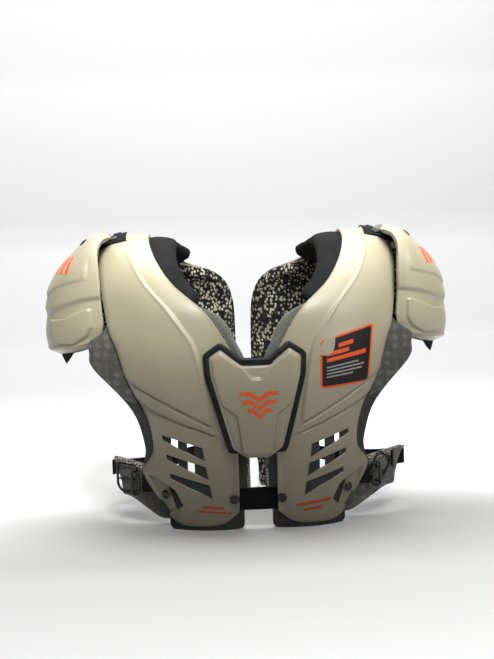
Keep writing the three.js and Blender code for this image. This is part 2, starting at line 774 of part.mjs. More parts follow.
// The belt lies on the flap, goes through the flap's sleeve and round the side to the back shell.
function makeBelt({ flapReach: reach, beltStart }, extra = 0) {
  const middle = BELT.level * HEIGHT;
  const lift = CLEARANCE + BELT.thickness / 2;
  const start = flapAt(beltStart * HALF_WIDTH, reach);
  const last = FLAP.length - 1;
  const onFlap = [start, (start + last) / 2, last].map((k) => {
    const { x, y, run } = flapFrame(k, reach);
    return new THREE.Vector3(x + run.y * lift, y - run.x * lift, middle);
  });
  const onWay = BELT_ROUTE.map((p) => new THREE.Vector3(p.x * HALF_WIDTH, p.y * BACK_DEPTH, p.z * HEIGHT));
  const onBack = BELT_END.ts.map((t) => {
    const { point, normal } = archFrame(BELT_END.u, t);
    return point.addScaledVector(normal, PLATEAU + BELT_END.lift + BELT.thickness / 2);
  });
  return bandAlong([...onFlap, ...onWay, ...onBack], BELT.width, BELT.thickness, extra);
}

function makeFlap(places) {
  const { flapReach: reach, sleeveStart } = places;
  const stations = FLAP.map((_, k) => k);
  const base = solidBetween(flapGrid(stations, reach, 0), flapGrid(stations, reach, FLAP_THICKNESS));
  const room = makeBelt(places, CLEARANCE);
  if (sleeveStart === undefined) return base.subtract(room);
  const start = flapAt(sleeveStart * HALF_WIDTH, reach);
  const covered = [start, ...stations.filter((k) => k > start + 0.2)];
  const over = -(BELT.thickness + 2 * CLEARANCE + SLEEVE_THICKNESS);
  const lowest = BELT_LOW - CLEARANCE - SLEEVE_THICKNESS;
  const sleeve = solidBetween(
    flapGrid(covered, reach, over, lowest),
    flapGrid(covered, reach, FLAP_THICKNESS / 2, lowest),
  );
  return base.add(sleeve).subtract(room);
}

function flapPlace(x, z, reach, lift) {
  const { y, run } = flapFrame(flapAt(x, reach), reach);
  const yaw = (Math.atan2(run.y, run.x) * 180) / Math.PI;
  return { at: [x + run.y * lift, y - run.x * lift, z], yaw };
}

function makeRing({ flapReach, ringX, ringZ, ringWide, ringTurn }) {
  const { at, yaw } = flapPlace(ringX * HALF_WIDTH, ringZ * HEIGHT, flapReach, RING_LIFT);
  const outline = RING.map((p) => ({ x: p.x * ringWide, z: p.z * RING_HIGH }));
  return frameSolid(outline, at, [0, ringTurn, yaw], 0);
}

function makeLoop({ flapReach, loopX, loopAbove }) {
  const lift = RING_LIFT + WIRE + loopAbove;
  const { at, yaw } = flapPlace(loopX * HALF_WIDTH, LOOP.level * HEIGHT, flapReach, lift);
  const [x, z] = [LOOP.wide / 2, LOOP.high / 2];
  return frameSolid([{ x: -x, z }, { x, z }, { x, z: -z }, { x: -x, z: -z }], at, [0, 0, yaw]);
}

// The webbing tab that holds the loop, out of the gap behind the shell's arm edge.
function makeTab({ flapReach, loopX, loopAbove }) {
  const lift = RING_LIFT + WIRE + loopAbove;
  const end = flapPlace(loopX * HALF_WIDTH - LOOP.wide / 2 - CLEARANCE, 0, flapReach, lift).at;
  const grid = (out) =>
    TAB.sections.map((u, k) => {
      const { point, normal, across } = archFrame(u, 1);
      const z = (TAB.low + ((TAB.high - TAB.low) * k) / (TAB.sections.length - 1)) * HEIGHT;
      const from = point.addScaledVector(across, CLEARANCE).addScaledVector(normal, out - TAB.thickness);
      return [from, new THREE.Vector3(end[0], end[1] - out, z)];
    });
  return solidBetween(grid(TAB.thickness / 2), grid(-TAB.thickness / 2));
}

// A flat frame of square wire in X and Z about its own middle, turned and placed, with a bar where asked.
function frameSolid(corners, at, turn, bar) {
  const clockwise = THREE.ShapeUtils.isClockWise(corners.map((p) => new THREE.Vector2(p.x, p.z)));
  const shape = frontShape(corners);
  shape.holes.push(frontShape(grown(corners, clockwise ? -WIRE : WIRE)));
  let made = solidOfGeometry(prism(shape, -WIRE / 2, WIRE));
  if (bar !== undefined) {
    const xs = corners.map((p) => p.x);
    const span = Math.max(...xs) - Math.min(...xs) - WIRE;
    const middle = new THREE.BoxGeometry(span, WIRE / 2, WIRE / 2);
    middle.translate((Math.max(...xs) + Math.min(...xs)) / 2, 0, bar);
    made = made.add(solidOfGeometry(middle));
  }
  return made.rotate(turn).translate(at);
}

function mesh(name, solid, colour, roughness, metalness = 0) {
  const material = new THREE.MeshStandardMaterial({ color: colour, roughness, metalness });
  const made = new THREE.Mesh(geometryOf(solid), material);
  made.name = name;
  return made;
}

function mirrored(solid) {
  return solid.mirror([1, 0, 0]);
}

const shoulderPads = new THREE.Group();

function single(name, solid, colour, roughness, metalness) {
  shoulderPads.add(mesh(name, solid, colour, roughness, metalness));
}

function pair(name, solid, colour, roughness, metalness) {
  single(`${name}_right`, solid, colour, roughness, metalness);
  single(`${name}_left`, mirrored(solid), colour, roughness, metalness);
}

// The room that the neck roll takes, up to the shell above it.
function neckRoom() {
  return makeNeckRoll(CLEARANCE).add(makeNeckRoll(CLEARANCE, NECK_ROLL.height / 2));
}

function makeFrontPad() {
  let pad = frontPad().subtract(neckRoom()).subtract(strapBox(CLEARANCE, PAD_THICKNESS / 2));
  for (const x of PAD_SLITS) {
    const left = x * HALF_WIDTH - PAD_SLIT_WIDTH / 2;
    const right = left + PAD_SLIT_WIDTH;
    const corners = [
      { x: left, z: PAD_SLIT_HIGH * HEIGHT },
      { x: right, z: PAD_SLIT_HIGH * HEIGHT },
      { x: right, z: PAD_SLIT_LOW * HEIGHT },
      { x: left, z: PAD_SLIT_LOW * HEIGHT },
    ];
    pad = pad.subtract(frontCut(corners));
  }
  return largestBody(pad);
}

pair("shell", makeShell(), SHELL_COLOUR, 0.45);
pair("front_pad", makeFrontPad(), PAD_COLOUR, 0.9);
pair("back_pad", backPad().subtract(neckRoom()), PAD_COLOUR, 0.9);
pair("neck_roll", makeNeckRoll(), BLACK, 0.8);
pair("cap", makeCap(), SHELL_COLOUR, 0.45);
pair("cap_pad", makeCapPad(), PAD_COLOUR, 0.9);
pair("cap_strap", makeCapStrap(), BLACK, 0.8);
single("sternum_plate", makeSternum(), SHELL_COLOUR, 0.45);
single("sternum_gasket", makeGasket(), BLACK, 0.6);
single("front_strap", strapBox(), BLACK, 0.85);
pair("inner_rivet", shellRivet(INNER_RIVET), BLACK, 0.35);
pair("outer_rivet", shellRivet(OUTER_RIVET), BLACK, 0.35);
ARCH_RIVETS.forEach((place, k) => pair(`arch_rivet_${k + 1}`, archRivet(place), BLACK, 0.35));
CAP_RIVETS.forEach((place, k) => pair(`cap_rivet_${k + 1}`, capRivet(place), BLACK, 0.35));
for (const [side, places] of Object.entries(SIDES)) {
  const place = (solid) => (side === "left" ? mirrored(solid) : solid);
  single(`belt_flap_${side}`, place(makeFlap(places)), PAD_COLOUR, 0.9);
  single(`belt_${side}`, place(makeBelt(places)), BLACK, 0.85);
  single(`buckle_ring_${side}`, place(makeRing(places)), BLACK, 0.25);
  single(`buckle_loop_${side}`, place(makeLoop(places)), BLACK, 0.25);
  single(`buckle_tab_${side}`, place(makeTab(places)), BLACK, 0.85);
}

// The origin is the middle of the pads' own box, on the floor.
const box = new THREE.Box3().setFromObject(shoulderPads);
shoulderPads.position.y = -(box.min.y + box.max.y) / 2;
shoulderPads.position.z = -box.min.z;

export default shoulderPads;
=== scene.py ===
"""Looks of the youth football shoulder pads: moulded shells, sternum plate, caps, foam, webbing and buckles.

Sizes are the part's own, in millimetres: the chest faces -Y and the right side (+X) is worked out first.
"""

import math

import bmesh
import bpy
import numpy as np
from mathutils import Matrix, Vector


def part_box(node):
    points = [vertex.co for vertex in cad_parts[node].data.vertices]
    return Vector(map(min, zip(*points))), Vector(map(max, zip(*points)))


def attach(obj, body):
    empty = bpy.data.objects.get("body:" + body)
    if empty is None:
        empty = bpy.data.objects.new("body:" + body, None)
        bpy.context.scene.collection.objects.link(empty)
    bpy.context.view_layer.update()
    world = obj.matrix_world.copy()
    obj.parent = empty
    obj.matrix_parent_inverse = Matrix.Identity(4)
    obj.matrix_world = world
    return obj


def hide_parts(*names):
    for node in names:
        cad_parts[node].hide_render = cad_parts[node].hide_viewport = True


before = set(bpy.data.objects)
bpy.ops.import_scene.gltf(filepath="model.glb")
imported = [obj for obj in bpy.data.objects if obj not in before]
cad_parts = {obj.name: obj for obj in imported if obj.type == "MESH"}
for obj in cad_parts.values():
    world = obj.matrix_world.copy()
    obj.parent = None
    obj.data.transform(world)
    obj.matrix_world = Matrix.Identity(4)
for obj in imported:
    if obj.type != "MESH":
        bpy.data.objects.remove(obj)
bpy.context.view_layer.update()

CAP_LOW, CAP_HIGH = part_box("cap_right")
SHIFT = np.array([0.0, 500.0 * (CAP_LOW.y + CAP_HIGH.y), 0.0])

HALF_WIDTH = 160.0
HEIGHT = 308.0
CHEST_DEPTH = 127.0
BACK_DEPTH = 116.0
CLEARANCE = 0.3
SHELL_WALL = 3.0
PLATEAU = 2.4
PANEL_SINK = 2.0
POCKET_DEPTH = 2.8
EDGE_ROUND = 0.9
PAD_GAP = 0.6
PAD_THICKNESS = 12.0
PAD_EDGE = 5.0
PAD_FOOT_RISE = 11.0
PAD_FOOT_FLAT = 0.5
PAD_COLUMNS = 110
QUILT_PITCH = 17.0
QUILT_DEPTH = 0.5
CAP_REACH = 223.0
CAP_DEPTH = 74.0
CAP_TOP = 308.0
CAP_WALL = 3.0
# Millimetres from one section to the next on the shell and on the cap, and from the cap's middle to its front edge
ROW_RUN = 26.0
CAP_ROW_RUN = 14.0
CAP_HALF_RUN = 95.0


def table(width, text):
    return np.array(text.split(), float).reshape(-1, width)


# inX inY inZ outX outY outZ bulge sag ridge padIn padOut
ARCH = table(11, """
0.120 -0.920 0.061 0.594 -0.780 0.055  0.060  0.085 0.30  0.070  0.030
0.120 -0.955 0.146 0.750 -0.695 0.182  0.065  0     0.28  0.075  0.000
0.120 -0.975 0.214 0.678 -0.745 0.266  0.065  0     0.26  0.075  0.080
0.120 -0.990 0.273 0.712 -0.728 0.370  0.065  0     0.24  0.075  0.085
0.120 -1.000 0.325 0.812 -0.690 0.484  0.068  0     0.22  0.075  0.165
0.122 -0.985 0.455 0.860 -0.660 0.568  0.070  0     0.25  0.075  0.190
0.128 -0.955 0.558 0.890 -0.635 0.618  0.068  0     0.28  0.075  0.180
0.181 -0.925 0.627 0.928 -0.590 0.665  0.062  0     0.28  0.075  0.060
0.312 -0.860 0.730 0.956 -0.525 0.734  0.055  0     0.32  0.070 -0.020
0.494 -0.690 0.815 0.978 -0.450 0.812  0.045  0     0.36 -0.150 -0.020
0.600 -0.490 0.893 0.991 -0.330 0.880  0.038  0     0.39 -0.080 -0.020
0.653 -0.250 0.961 0.997 -0.170 0.938  0.030  0     0.42 -0.060 -0.020
0.656  0     0.997 1.000  0     0.960  0.028  0     0.43 -0.060 -0.020
0.644  0.220 0.984 0.997  0.190 0.938  0.030  0     0.42 -0.060 -0.020
0.581  0.430 0.948 0.991  0.360 0.880  0.038  0     0.39 -0.060 -0.020
0.450  0.590 0.909 0.978  0.490 0.812  0.045  0     0.36 -0.020 -0.020
0.300  0.730 0.870 0.956  0.580 0.734  0.055  0     0.32  0.050 -0.020
0.188  0.840 0.818 0.928  0.650 0.660  0.060  0     0.28  0.060  0.030
0.125  0.910 0.731 0.875  0.700 0.585  0.062  0     0.26  0.060  0.050
0.112  0.950 0.600 0.800  0.745 0.504  0.060  0     0.25  0.060  0.050
0.112  0.975 0.455 0.690  0.800 0.406  0.050  0     0.25  0.060  0.040
0.112  0.985 0.308 0.540  0.870 0.300  0.040  0     0.25  0.060  0.030
0.112  0.965 0.180 0.400  0.900 0.180  0.030  0     0.25  0.060  0.025
0.112  0.930 0.050 0.375  0.880 0.050  0.030  0.040 0.25  0.060  0.025
""")
BULGE, SAG, RIDGE, PAD_IN, PAD_OUT = range(6, 11)
SHOULDER_ROW = 12
LAST_ROW = len(ARCH) - 1

# cornerX cornerDepth cornerZ outX outZ round
CAP = table(6, """
0.659 0.480 0.981 0.678 1.000 1
0.695 0.730 0.965 0.762 0.985 1
0.709 0.900 0.926 0.850 0.926 1
0.704 0.970 0.880 0.914 0.872 1
0.700 1.000 0.828 0.956 0.820 1
0.700 1.000 0.778 0.978 0.768 1
0.695 1.000 0.728 0.992 0.710 0.8
0.691 0.985 0.688 1.000 0.655 0.6
0.700 0.920 0.660 0.985 0.600 0.4
0.720 0.860 0.645 0.945 0.578 0.35
""")


# Two lists of values crossed into two grids, the first one down the rows.
def crossed(down, across):
    return np.meshgrid(down, across, indexing="ij")


# Rows of a table at any place between them, on a smooth curve.
def rows_at(rows, u):
    u = np.asarray(u, float)
    i = np.clip(np.floor(u).astype(int), 0, len(rows) - 2)
    f = (u - i)[..., None]
    a, b, c, d = (rows[np.clip(i + k, 0, len(rows) - 1)] for k in (-1, 0, 1, 2))
    square = (2 * a - 5 * b + 4 * c - d) * f * f
    cube = (3 * b - a - 3 * c + d) * f**3
    return (2 * b + (c - a) * f + square + cube) / 2


def unit(v):
    return v / np.maximum(np.linalg.norm(v, axis=-1, keepdims=True), 1e-12)


def arch_ends(u):
    row = rows_at(ARCH, u)

    def sized(p):
        depth = np.where(p[..., 1] < 0, CHEST_DEPTH, BACK_DEPTH)
        return np.stack([p[..., 0] * HALF_WIDTH, p[..., 1] * depth, p[..., 2] * HEIGHT], -1)

    return row, sized(row[..., 0:3]), sized(row[..., 3:6])


# A point of the shell's middle face at section u and share t from neck to arm.
def arch_point(u, t):
    u, t = np.broadcast_arrays(np.asarray(u, float), np.asarray(t, float))
    row, neck, arm = arch_ends(u)
    _, n0, a0 = arch_ends(np.maximum(0, u - 0.05))
    _, n1, a1 = arch_ends(np.minimum(LAST_ROW, u + 0.05))
    out = unit(np.cross(arm - neck, n1 + a1 - n0 - a0))
    rise = row[..., BULGE] * HALF_WIDTH * 4 * t * (1 - t)
    point = neck + (arm - neck) * t[..., None] + out * rise[..., None]
    point[..., 2] -= row[..., SAG] * HALF_WIDTH * (1 - (2 * t - 1) ** 4)
    return point


# Point, outward normal and direction towards the arm.
def arch_frame(u, t):
    step = 0.01
    ts = np.clip(t, step, 1 - step)
    us = np.clip(u, step, LAST_ROW - step)
    across = unit(arch_point(us, ts + step) - arch_point(us, ts - step))
    along = unit(arch_point(us + step, ts) - arch_point(us - step, ts))
    normal = unit(np.cross(across, along))
    return arch_point(u, np.clip(t, 0, 1)), normal, across


# A point of the shell raised along its normal and carried past its edge, in millimetres.
def arch_at(u, t, up=0.0, past=0.0):
    u, t = np.broadcast_arrays(np.asarray(u, float), np.asarray(t, float))
    point, normal, across = arch_frame(u, t)
    up = np.asarray(up, float)[..., None]
    past = np.asarray(past, float)[..., None]
    return point + normal * up + across * past


# Millimetres from neck to arm at a section.
def arch_length(u):
    _, neck, arm = arch_ends(u)
    return np.linalg.norm(arm - neck, axis=-1)


def smooth(a, b, x):
    s = np.clip((x - a) / (b - a), 0, 1)
    return s * s * (3 - 2 * s)


def bump(x, wide):
    return np.exp(-((x / wide) ** 2))


# Distance from points to a polygon's outline, negative inside it.
def polygon_distance(corners, x, z):
    p = np.stack([x, z], -1)
    corners = np.asarray(corners, float)
    best = np.full(x.shape, 1e9)
    inside = np.zeros(x.shape, bool)
    for a, b in zip(corners, np.roll(corners, -1, 0)):
        edge = b - a
        s = np.clip(((p - a) @ edge) / (edge @ edge), 0, 1)
        best = np.minimum(best, np.linalg.norm(p - a - s[..., None] * edge, axis=-1))
        with np.errstate(divide="ignore", invalid="ignore"):
            at = a[0] + (z - a[1]) * (b[0] - a[0]) / (b[1] - a[1])
        inside ^= ((a[1] > z) != (b[1] > z)) & (x < at)
    return np.where(inside, -best, best)


# Height of a quarter circle over its width, for a rounded edge.
def quarter(share):
    return np.sqrt(np.clip(1 - (1 - np.clip(share, 0, 1)) ** 2, 0, 1))


# Materials


class Look:
    def __init__(self, name, colour, rough, **sockets):
        self.made = bpy.data.materials.new(name)
        self.made.use_nodes = True
        self.made.diffuse_color = (*colour, 1)
        self.tree = self.made.node_tree
        self.shader = self.tree.nodes["Principled BSDF"]
        for key, value in dict(Base_Color=(*colour, 1), Roughness=rough, **sockets).items():
            self.shader.inputs[key.replace("_", " ")].default_value = value
        self.place = self.add("ShaderNodeTexCoord").outputs["Object"]
        self.height = None

    def add(self, kind, **values):
        node = self.tree.nodes.new(kind)
        for key, value in values.items():
            if hasattr(node, key):
                setattr(node, key, value)
            else:
                node.inputs[key.replace("_", " ")].default_value = value
        return node

    def link(self, a, b):
        self.tree.links.new(a, b)

    def scaled(self, x, y, z):
        node = self.add("ShaderNodeMapping", Scale=(x, y, z))
        self.link(self.place, node.inputs["Vector"])
        return node.outputs["Vector"]

    def texture(self, kind, output, place=None, **values):
        node = self.add(kind, **values)
        self.link(place or self.place, node.inputs["Vector"])
        return node.outputs[output]

    def noise(self, scale, detail=4.0, rough=0.55, place=None):
        return self.texture("ShaderNodeTexNoise", "Fac", place, Scale=scale, Detail=detail, Roughness=rough)

    def cells(self, scale, feature="F1", random=1.0, place=None):
        values = dict(feature=feature, Scale=scale, Randomness=random)
        return self.texture("ShaderNodeTexVoronoi", "Distance", place, **values)

    def waves(self, scale, direction="X", distort=0.0):
        return self.texture("ShaderNodeTexWave", "Fac", bands_direction=direction, Scale=scale, Distortion=distort)

    def ranged(self, value, low, high, to_low=0.0, to_high=1.0):
        limits = dict(From_Min=low, From_Max=high, To_Min=to_low, To_Max=to_high)
        node = self.add("ShaderNodeMapRange", interpolation_type="SMOOTHSTEP", **limits)
        self.link(value, node.inputs["Value"])
        return node.outputs["Result"]

    def product(self, a, b):
        node = self.add("ShaderNodeMath", operation="MULTIPLY")
        self.link(a, node.inputs[0])
        self.link(b, node.inputs[1])
        return node.outputs[0]

    def mix(self, share, a, b):
        node = self.add("ShaderNodeMix", data_type="RGBA")
        self.link(share, node.inputs["Factor"])
        for socket, value in zip((node.inputs[6], node.inputs[7]), (a, b)):
            if isinstance(value, tuple):
                socket.default_value = (*value, 1)
            else:
                self.link(value, socket)
        return node.outputs[2]

    def colour(self, value):
        self.link(value, self.shader.inputs["Base Color"])

    def mottle(self, noise, low, high, a, b, most=1.0):
        self.colour(self.mix(self.ranged(noise, low, high, 0.0, most), a, b))

    def rough(self, value):
        self.link(value, self.shader.inputs["Roughness"])

    def bumps(self, value, metres, strength=1.0):
        node = self.add("ShaderNodeBump", Strength=strength, Distance=metres)
        self.link(value, node.inputs["Height"])
        if self.height is not None:
            self.link(self.height, node.inputs["Normal"])
        self.height = node.outputs["Normal"]
        self.link(self.height, self.shader.inputs["Normal"])


def plastic_material():
    coat = dict(Specular_IOR_Level=0.5, Coat_Weight=0.12, Coat_Roughness=0.25)
    n = Look("shell_satin", (0.40, 0.365, 0.275), 0.36, **coat)
    tone = n.ranged(n.noise(9, 3), 0.35, 0.65)
    base = n.mix(tone, (0.256, 0.231, 0.157), (0.281, 0.254, 0.174))
    scuffs = n.noise(120, 6, 0.7, n.scaled(1.0, 1.0, 0.25))
    worn = n.ranged(scuffs, 0.66, 0.74, 0.0, 0.3)
    # Painted shade: below 0.22 m the shell's colour darkens towards the bottom, up to about half way to a dark
    # brown, for the shade on the lower panels.
    split = n.add("ShaderNodeSeparateXYZ")
    n.link(n.place, split.inputs[0])
    painted_shade_low = n.ranged(split.outputs["Z"], 0.22, 0.03, 0.0, 0.53)
    base = n.mix(painted_shade_low, base, (0.07, 0.058, 0.036))
    n.colour(n.mix(worn, base, (0.17, 0.145, 0.10)))
    n.rough(n.ranged(n.noise(60, 5, 0.65), 0.3, 0.7, 0.3, 0.46))
    n.bumps(n.noise(700, 2), 0.00004, 0.5)
    n.bumps(n.noise(35, 2), 0.0005, 0.25)
    return n.made


def heather_material(name, dark, light, dimple=0.0):
    n = Look(name, dark, 0.92, Sheen_Weight=0.08, Specular_IOR_Level=0.3)
    flecks = n.ranged(n.noise(1400, 3, 0.7), 0.42, 0.6)
    base = n.mix(flecks, dark, light)
    if dimple:
        cups = n.ranged(n.cells(1 / dimple, "SMOOTH_F1", 0.25), 0.1, 0.55)
        base = n.mix(n.ranged(cups, 0.3, 1.0, 0.0, 0.5), base, tuple(0.5 * v for v in dark))
        n.bumps(cups, 0.0016, 0.9)
    n.colour(base)
    n.bumps(n.waves(420, "DIAGONAL"), 0.0002, 0.4)
    n.bumps(n.noise(1700, 2), 0.0002, 0.4)
    return n.made


def liner_material():
    n = Look("liner_mesh", (0.005, 0.005, 0.005), 0.85, Specular_IOR_Level=0.15)
    spots = n.cells(280, "F1", 0.75, n.scaled(1.0, 1.0, 0.75))
    dots = n.ranged(spots, 0.47, 0.34)
    worn = n.ranged(n.noise(45, 2), 0.3, 0.7, 0.5, 1.0)
    n.colour(n.mix(n.product(dots, worn), (0.004, 0.004, 0.004), (0.29, 0.265, 0.20)))
    n.bumps(dots, 0.0007, 0.8)
    return n.made


def trim_material():
    n = Look("trim_mesh", (0.5, 0.47, 0.38), 0.8, Sheen_Weight=0.2)
    holes = n.ranged(n.cells(330, "DISTANCE_TO_EDGE", 0.35), 0.08, 0.2)
    n.colour(n.mix(holes, (0.02, 0.019, 0.016), (0.40, 0.375, 0.30)))
    n.bumps(holes, 0.0006, 0.8)
    return n.made


def roll_material():
    n = Look("roll_cloth", (0.007, 0.007, 0.007), 0.85, Specular_IOR_Level=0.12)
    n.mottle(n.noise(30, 3), 0.35, 0.65, (0.0045, 0.0045, 0.0045), (0.008, 0.008, 0.0077))
    n.bumps(n.waves(600, "DIAGONAL"), 0.00012, 0.35)
    n.bumps(n.noise(55, 2), 0.0009, 0.3)
    return n.made


def webbing_material():
    n = Look("webbing_weave", (0.006, 0.006, 0.007), 0.75, Specular_IOR_Level=0.15)
    weave = n.product(n.waves(330, "Z"), n.waves(420, "X", 1.5))
    n.colour(n.mix(weave, (0.002, 0.002, 0.002), (0.007, 0.007, 0.0075)))
    n.bumps(weave, 0.0005, 0.8)
    return n.made


def rubber_material():
    n = Look("seal_black", (0.004, 0.004, 0.005), 0.6, Specular_IOR_Level=0.2)
    n.mottle(n.noise(80, 3), 0.4, 0.7, (0.003, 0.003, 0.004), (0.008, 0.008, 0.008))
    n.bumps(n.noise(900, 2), 0.0001, 0.5)
    return n.made


def gloss_material():
    n = Look("hardware_black", (0.004, 0.004, 0.004), 0.22, Specular_IOR_Level=0.5)
    n.rough(n.ranged(n.noise(160, 4), 0.3, 0.7, 0.17, 0.34))
    n.mottle(n.noise(60, 3), 0.45, 0.7, (0.003, 0.003, 0.003), (0.008, 0.008, 0.009))
    n.bumps(n.noise(300, 2), 0.00008, 0.4)
    return n.made


def print_material(name, colour, worn_to):
    n = Look(name, colour, 0.5, Specular_IOR_Level=0.25)
    n.mottle(n.noise(260, 5, 0.7), 0.5, 0.72, colour, worn_to, 0.6)
    n.bumps(n.noise(500, 2), 0.00005, 0.4)
    return n.made


PLASTIC = plastic_material()
HEATHER = heather_material("heather_cloth", (0.012, 0.012, 0.010), (0.045, 0.045, 0.039))
# The armhole lobes' quilt: its own grey, made darker partly as painted shade from the caps above.
LOBE_WITH_SHADE = heather_material("heather_quilt_shaded", (0.036, 0.036, 0.031), (0.108, 0.106, 0.093), 0.0095)
QUILT = heather_material("flap_quilt", (0.085, 0.084, 0.073), (0.23, 0.227, 0.2), 0.0095)
MESH = heather_material("flap_mesh", (0.05, 0.049, 0.042), (0.17, 0.166, 0.145))
BIB = heather_material("bib_cloth", (0.055, 0.058, 0.048), (0.15, 0.156, 0.132))
LINER = liner_material()
TRIM = trim_material()
ROLL = roll_material()
WEBBING = webbing_material()
RUBBER = rubber_material()
GLOSS = gloss_material()
ORANGE = print_material("print_orange", (0.52, 0.062, 0.006), (0.36, 0.20, 0.12))
FADED = print_material("print_faded", (0.30, 0.045, 0.012), (0.22, 0.12, 0.07))
SCAR = print_material("paper_worn", (0.26, 0.235, 0.17), (0.12, 0.10, 0.07))
DARK_PRINT = print_material("print_black", (0.005, 0.005, 0.005), (0.014, 0.013, 0.012))
PALE_PRINT = print_material("print_pale", (0.24, 0.225, 0.20), (0.06, 0.055, 0.05))


# Meshes


def link(name, data):
    made = bpy.data.objects.new(name, data)
    bpy.context.scene.collection.objects.link(made)
    return made


def tidy(mesh, angle):
    shape = bmesh.new()
    shape.from_mesh(mesh)
    bmesh.ops.remove_doubles(shape, verts=shape.verts, dist=1e-6)
    if shape.calc_volume(signed=True) < 0:
        bmesh.ops.reverse_faces(shape, faces=shape.faces)
    shape.to_mesh(mesh)
    shape.free()
    mesh.polygons.foreach_set("use_smooth", [True] * len(mesh.polygons))
    mesh.set_sharp_from_angle(angle=math.radians(angle))
    mesh.update()


# A piece from points in millimetres, mirrored for the left side.
def piece_from(name, points, faces, materials, side=1, angle=38, kinds=None):
    p = (np.asarray(points, float).reshape(-1, 3) + SHIFT) * np.array([side, 1, 1]) / 1000
    mesh = bpy.data.meshes.new(name)
    mesh.from_pydata(p.tolist(), [], [list(f) for f in faces])
    for m in materials:
        mesh.materials.append(m)
    if kinds is not None:
        mesh.polygons.foreach_set("material_index", list(kinds))
    tidy(mesh, angle)
    return link(name, mesh)


# The closed skin between two grids of the same size: outer faces, inner faces, then the rim.
def skin(name, outer, inner, materials, side=1, angle=38, kinds=None):
    rows, columns = outer.shape[:2]
    count = rows * columns
    i, j = crossed(np.arange(rows - 1), np.arange(columns - 1))
    a = (i * columns + j).ravel()
    front = np.stack([a, a + 1, a + columns + 1, a + columns], -1)
    back = front[:, ::-1] + count
    ring = [(0, j) for j in range(columns)]
    ring += [(i, columns - 1) for i in range(1, rows)]
    ring += [(rows - 1, j) for j in range(columns - 2, -1, -1)]
    ring += [(i, 0) for i in range(rows - 2, 0, -1)]
    flat = [i * columns + j for i, j in ring]
    rim = [(a, a + count, b + count, b) for a, b in zip(flat, flat[1:] + flat[:1])]
    points = np.concatenate([outer.reshape(-1, 3), inner.reshape(-1, 3)])
    return piece_from(name, points, [*front.tolist(), *back.tolist(), *rim], materials, side, angle, kinds)


# Which material each face of a skin has: a grid for the outer faces, one number for the inner ones and for the rim.
def kinds_of(outer_kind, inner_kind, rim_kind):
    rows, columns = outer_kind.shape
    rim = np.full(2 * (rows + columns), rim_kind)
    return np.concatenate([outer_kind.ravel(), np.full(outer_kind.size, inner_kind), rim])


def settle(made):
    graph = bpy.context.evaluated_depsgraph_get()
    old = made.data
    made.data = bpy.data.meshes.new_from_object(made.evaluated_get(graph))
    made.modifiers.clear()
    bpy.data.meshes.remove(old)


# The first solver whose result is whole is kept.
def boolean(made, tools, what="DIFFERENCE", angle=38):
    least = 12 if what == "INTERSECT" else len(made.data.polygons) // 8
    for solver in ("MANIFOLD", "EXACT", "FAST"):
        for tool in tools:
            step = made.modifiers.new("cut", "BOOLEAN")
            step.solver = solver
            step.operation = what
            step.object = tool
        graph = bpy.context.evaluated_depsgraph_get()
        mesh = bpy.data.meshes.new_from_object(made.evaluated_get(graph))
        made.modifiers.clear()
        if len(mesh.polygons) >= least:
            break
    made.data = mesh
    for tool in tools:
        bpy.data.objects.remove(tool)
    tidy(made.data, angle)
    return made


def loft(name, rings, materials, side=1, angle=38, closed=False):
    rings = np.asarray(rings, float)
    count, sides = rings.shape[:2]
    faces = []
    for i in range(count if closed else count - 1):
        a, b = i * sides, ((i + 1) % count) * sides
        faces += [(a + j, a + (j + 1) % sides, b + (j + 1) % sides, b + j) for j in range(sides)]
    if not closed:
        faces.append(tuple(range(sides))[::-1])
        faces.append(tuple((count - 1) * sides + j for j in range(sides)))
    return piece_from(name, rings, faces, materials, side, angle)


def mirrored(made, name):
    mesh = made.data.copy()
    mesh.transform(Matrix.Scale(-1, 4, Vector((1, 0, 0))))
    mesh.flip_normals()
    return link(name, mesh)


# The right-hand piece and its mirror image, each in its node's place where it has one.
def pair(made, name, node):
    made.name = f"{name}_right"
    for word, piece in (("left", mirrored(made, f"{name}_left")), ("right", made)):
        finish_piece(piece, [f"{node}_{word}"] if node else [])


def finish_piece(made, nodes):
    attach(made, "root")
    if nodes:
        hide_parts(*nodes)


# The chest's surface as depth over X and Z, for what lies on it

FIELD_STEP = 2.0
FIELD_LOW = -4
FIELD_ROWS, FIELD_COLUMNS = 361, 91


def depth_field():
    u, t = crossed(np.linspace(0, SHOULDER_ROW, FIELD_ROWS), np.linspace(0, 1, FIELD_COLUMNS))
    p = arch_point(u, t).reshape(-1, 3)
    _, normal, _ = arch_frame(u, t)
    n = normal.reshape(-1, 3)
    xs = np.arange(0, HALF_WIDTH + 12, FIELD_STEP)
    zs = np.arange(FIELD_LOW, HEIGHT + 8, FIELD_STEP)
    made = np.zeros((len(xs), len(zs)))
    tu, tt = np.zeros_like(made), np.zeros_like(made)
    for i, x in enumerate(np.maximum(xs, ARCH[0, 0] * HALF_WIDTH)):
        gap = (p[:, 0, None] - x) ** 2 + (p[:, 2, None] - zs[None]) ** 2
        k = gap.argmin(0)
        tilt = (n[k, 0] * (x - p[k, 0]) + n[k, 2] * (zs - p[k, 2])) / np.minimum(n[k, 1], -0.25)
        near = np.sqrt(gap[k, np.arange(len(zs))]) < 4
        made[i] = p[k, 1] - np.where(near, tilt, 0)
        tu[i], tt[i] = u.ravel()[k], t.ravel()[k]
    return made, tu, tt


FIELD, FIELD_U, FIELD_T = depth_field()


def sample(field, x, z):
    i = np.clip(np.abs(x) / FIELD_STEP, 0, field.shape[0] - 1.001)
    j = np.clip((z - FIELD_LOW) / FIELD_STEP, 0, field.shape[1] - 1.001)
    a, b = i.astype(int), j.astype(int)
    f, g = i - a, j - b
    low = field[a, b] * (1 - f) + field[a + 1, b] * f
    high = field[a, b + 1] * (1 - f) + field[a + 1, b + 1] * f
    return low * (1 - g) + high * g


def chest(x, z):
    return sample(FIELD, np.asarray(x, float), np.asarray(z, float))


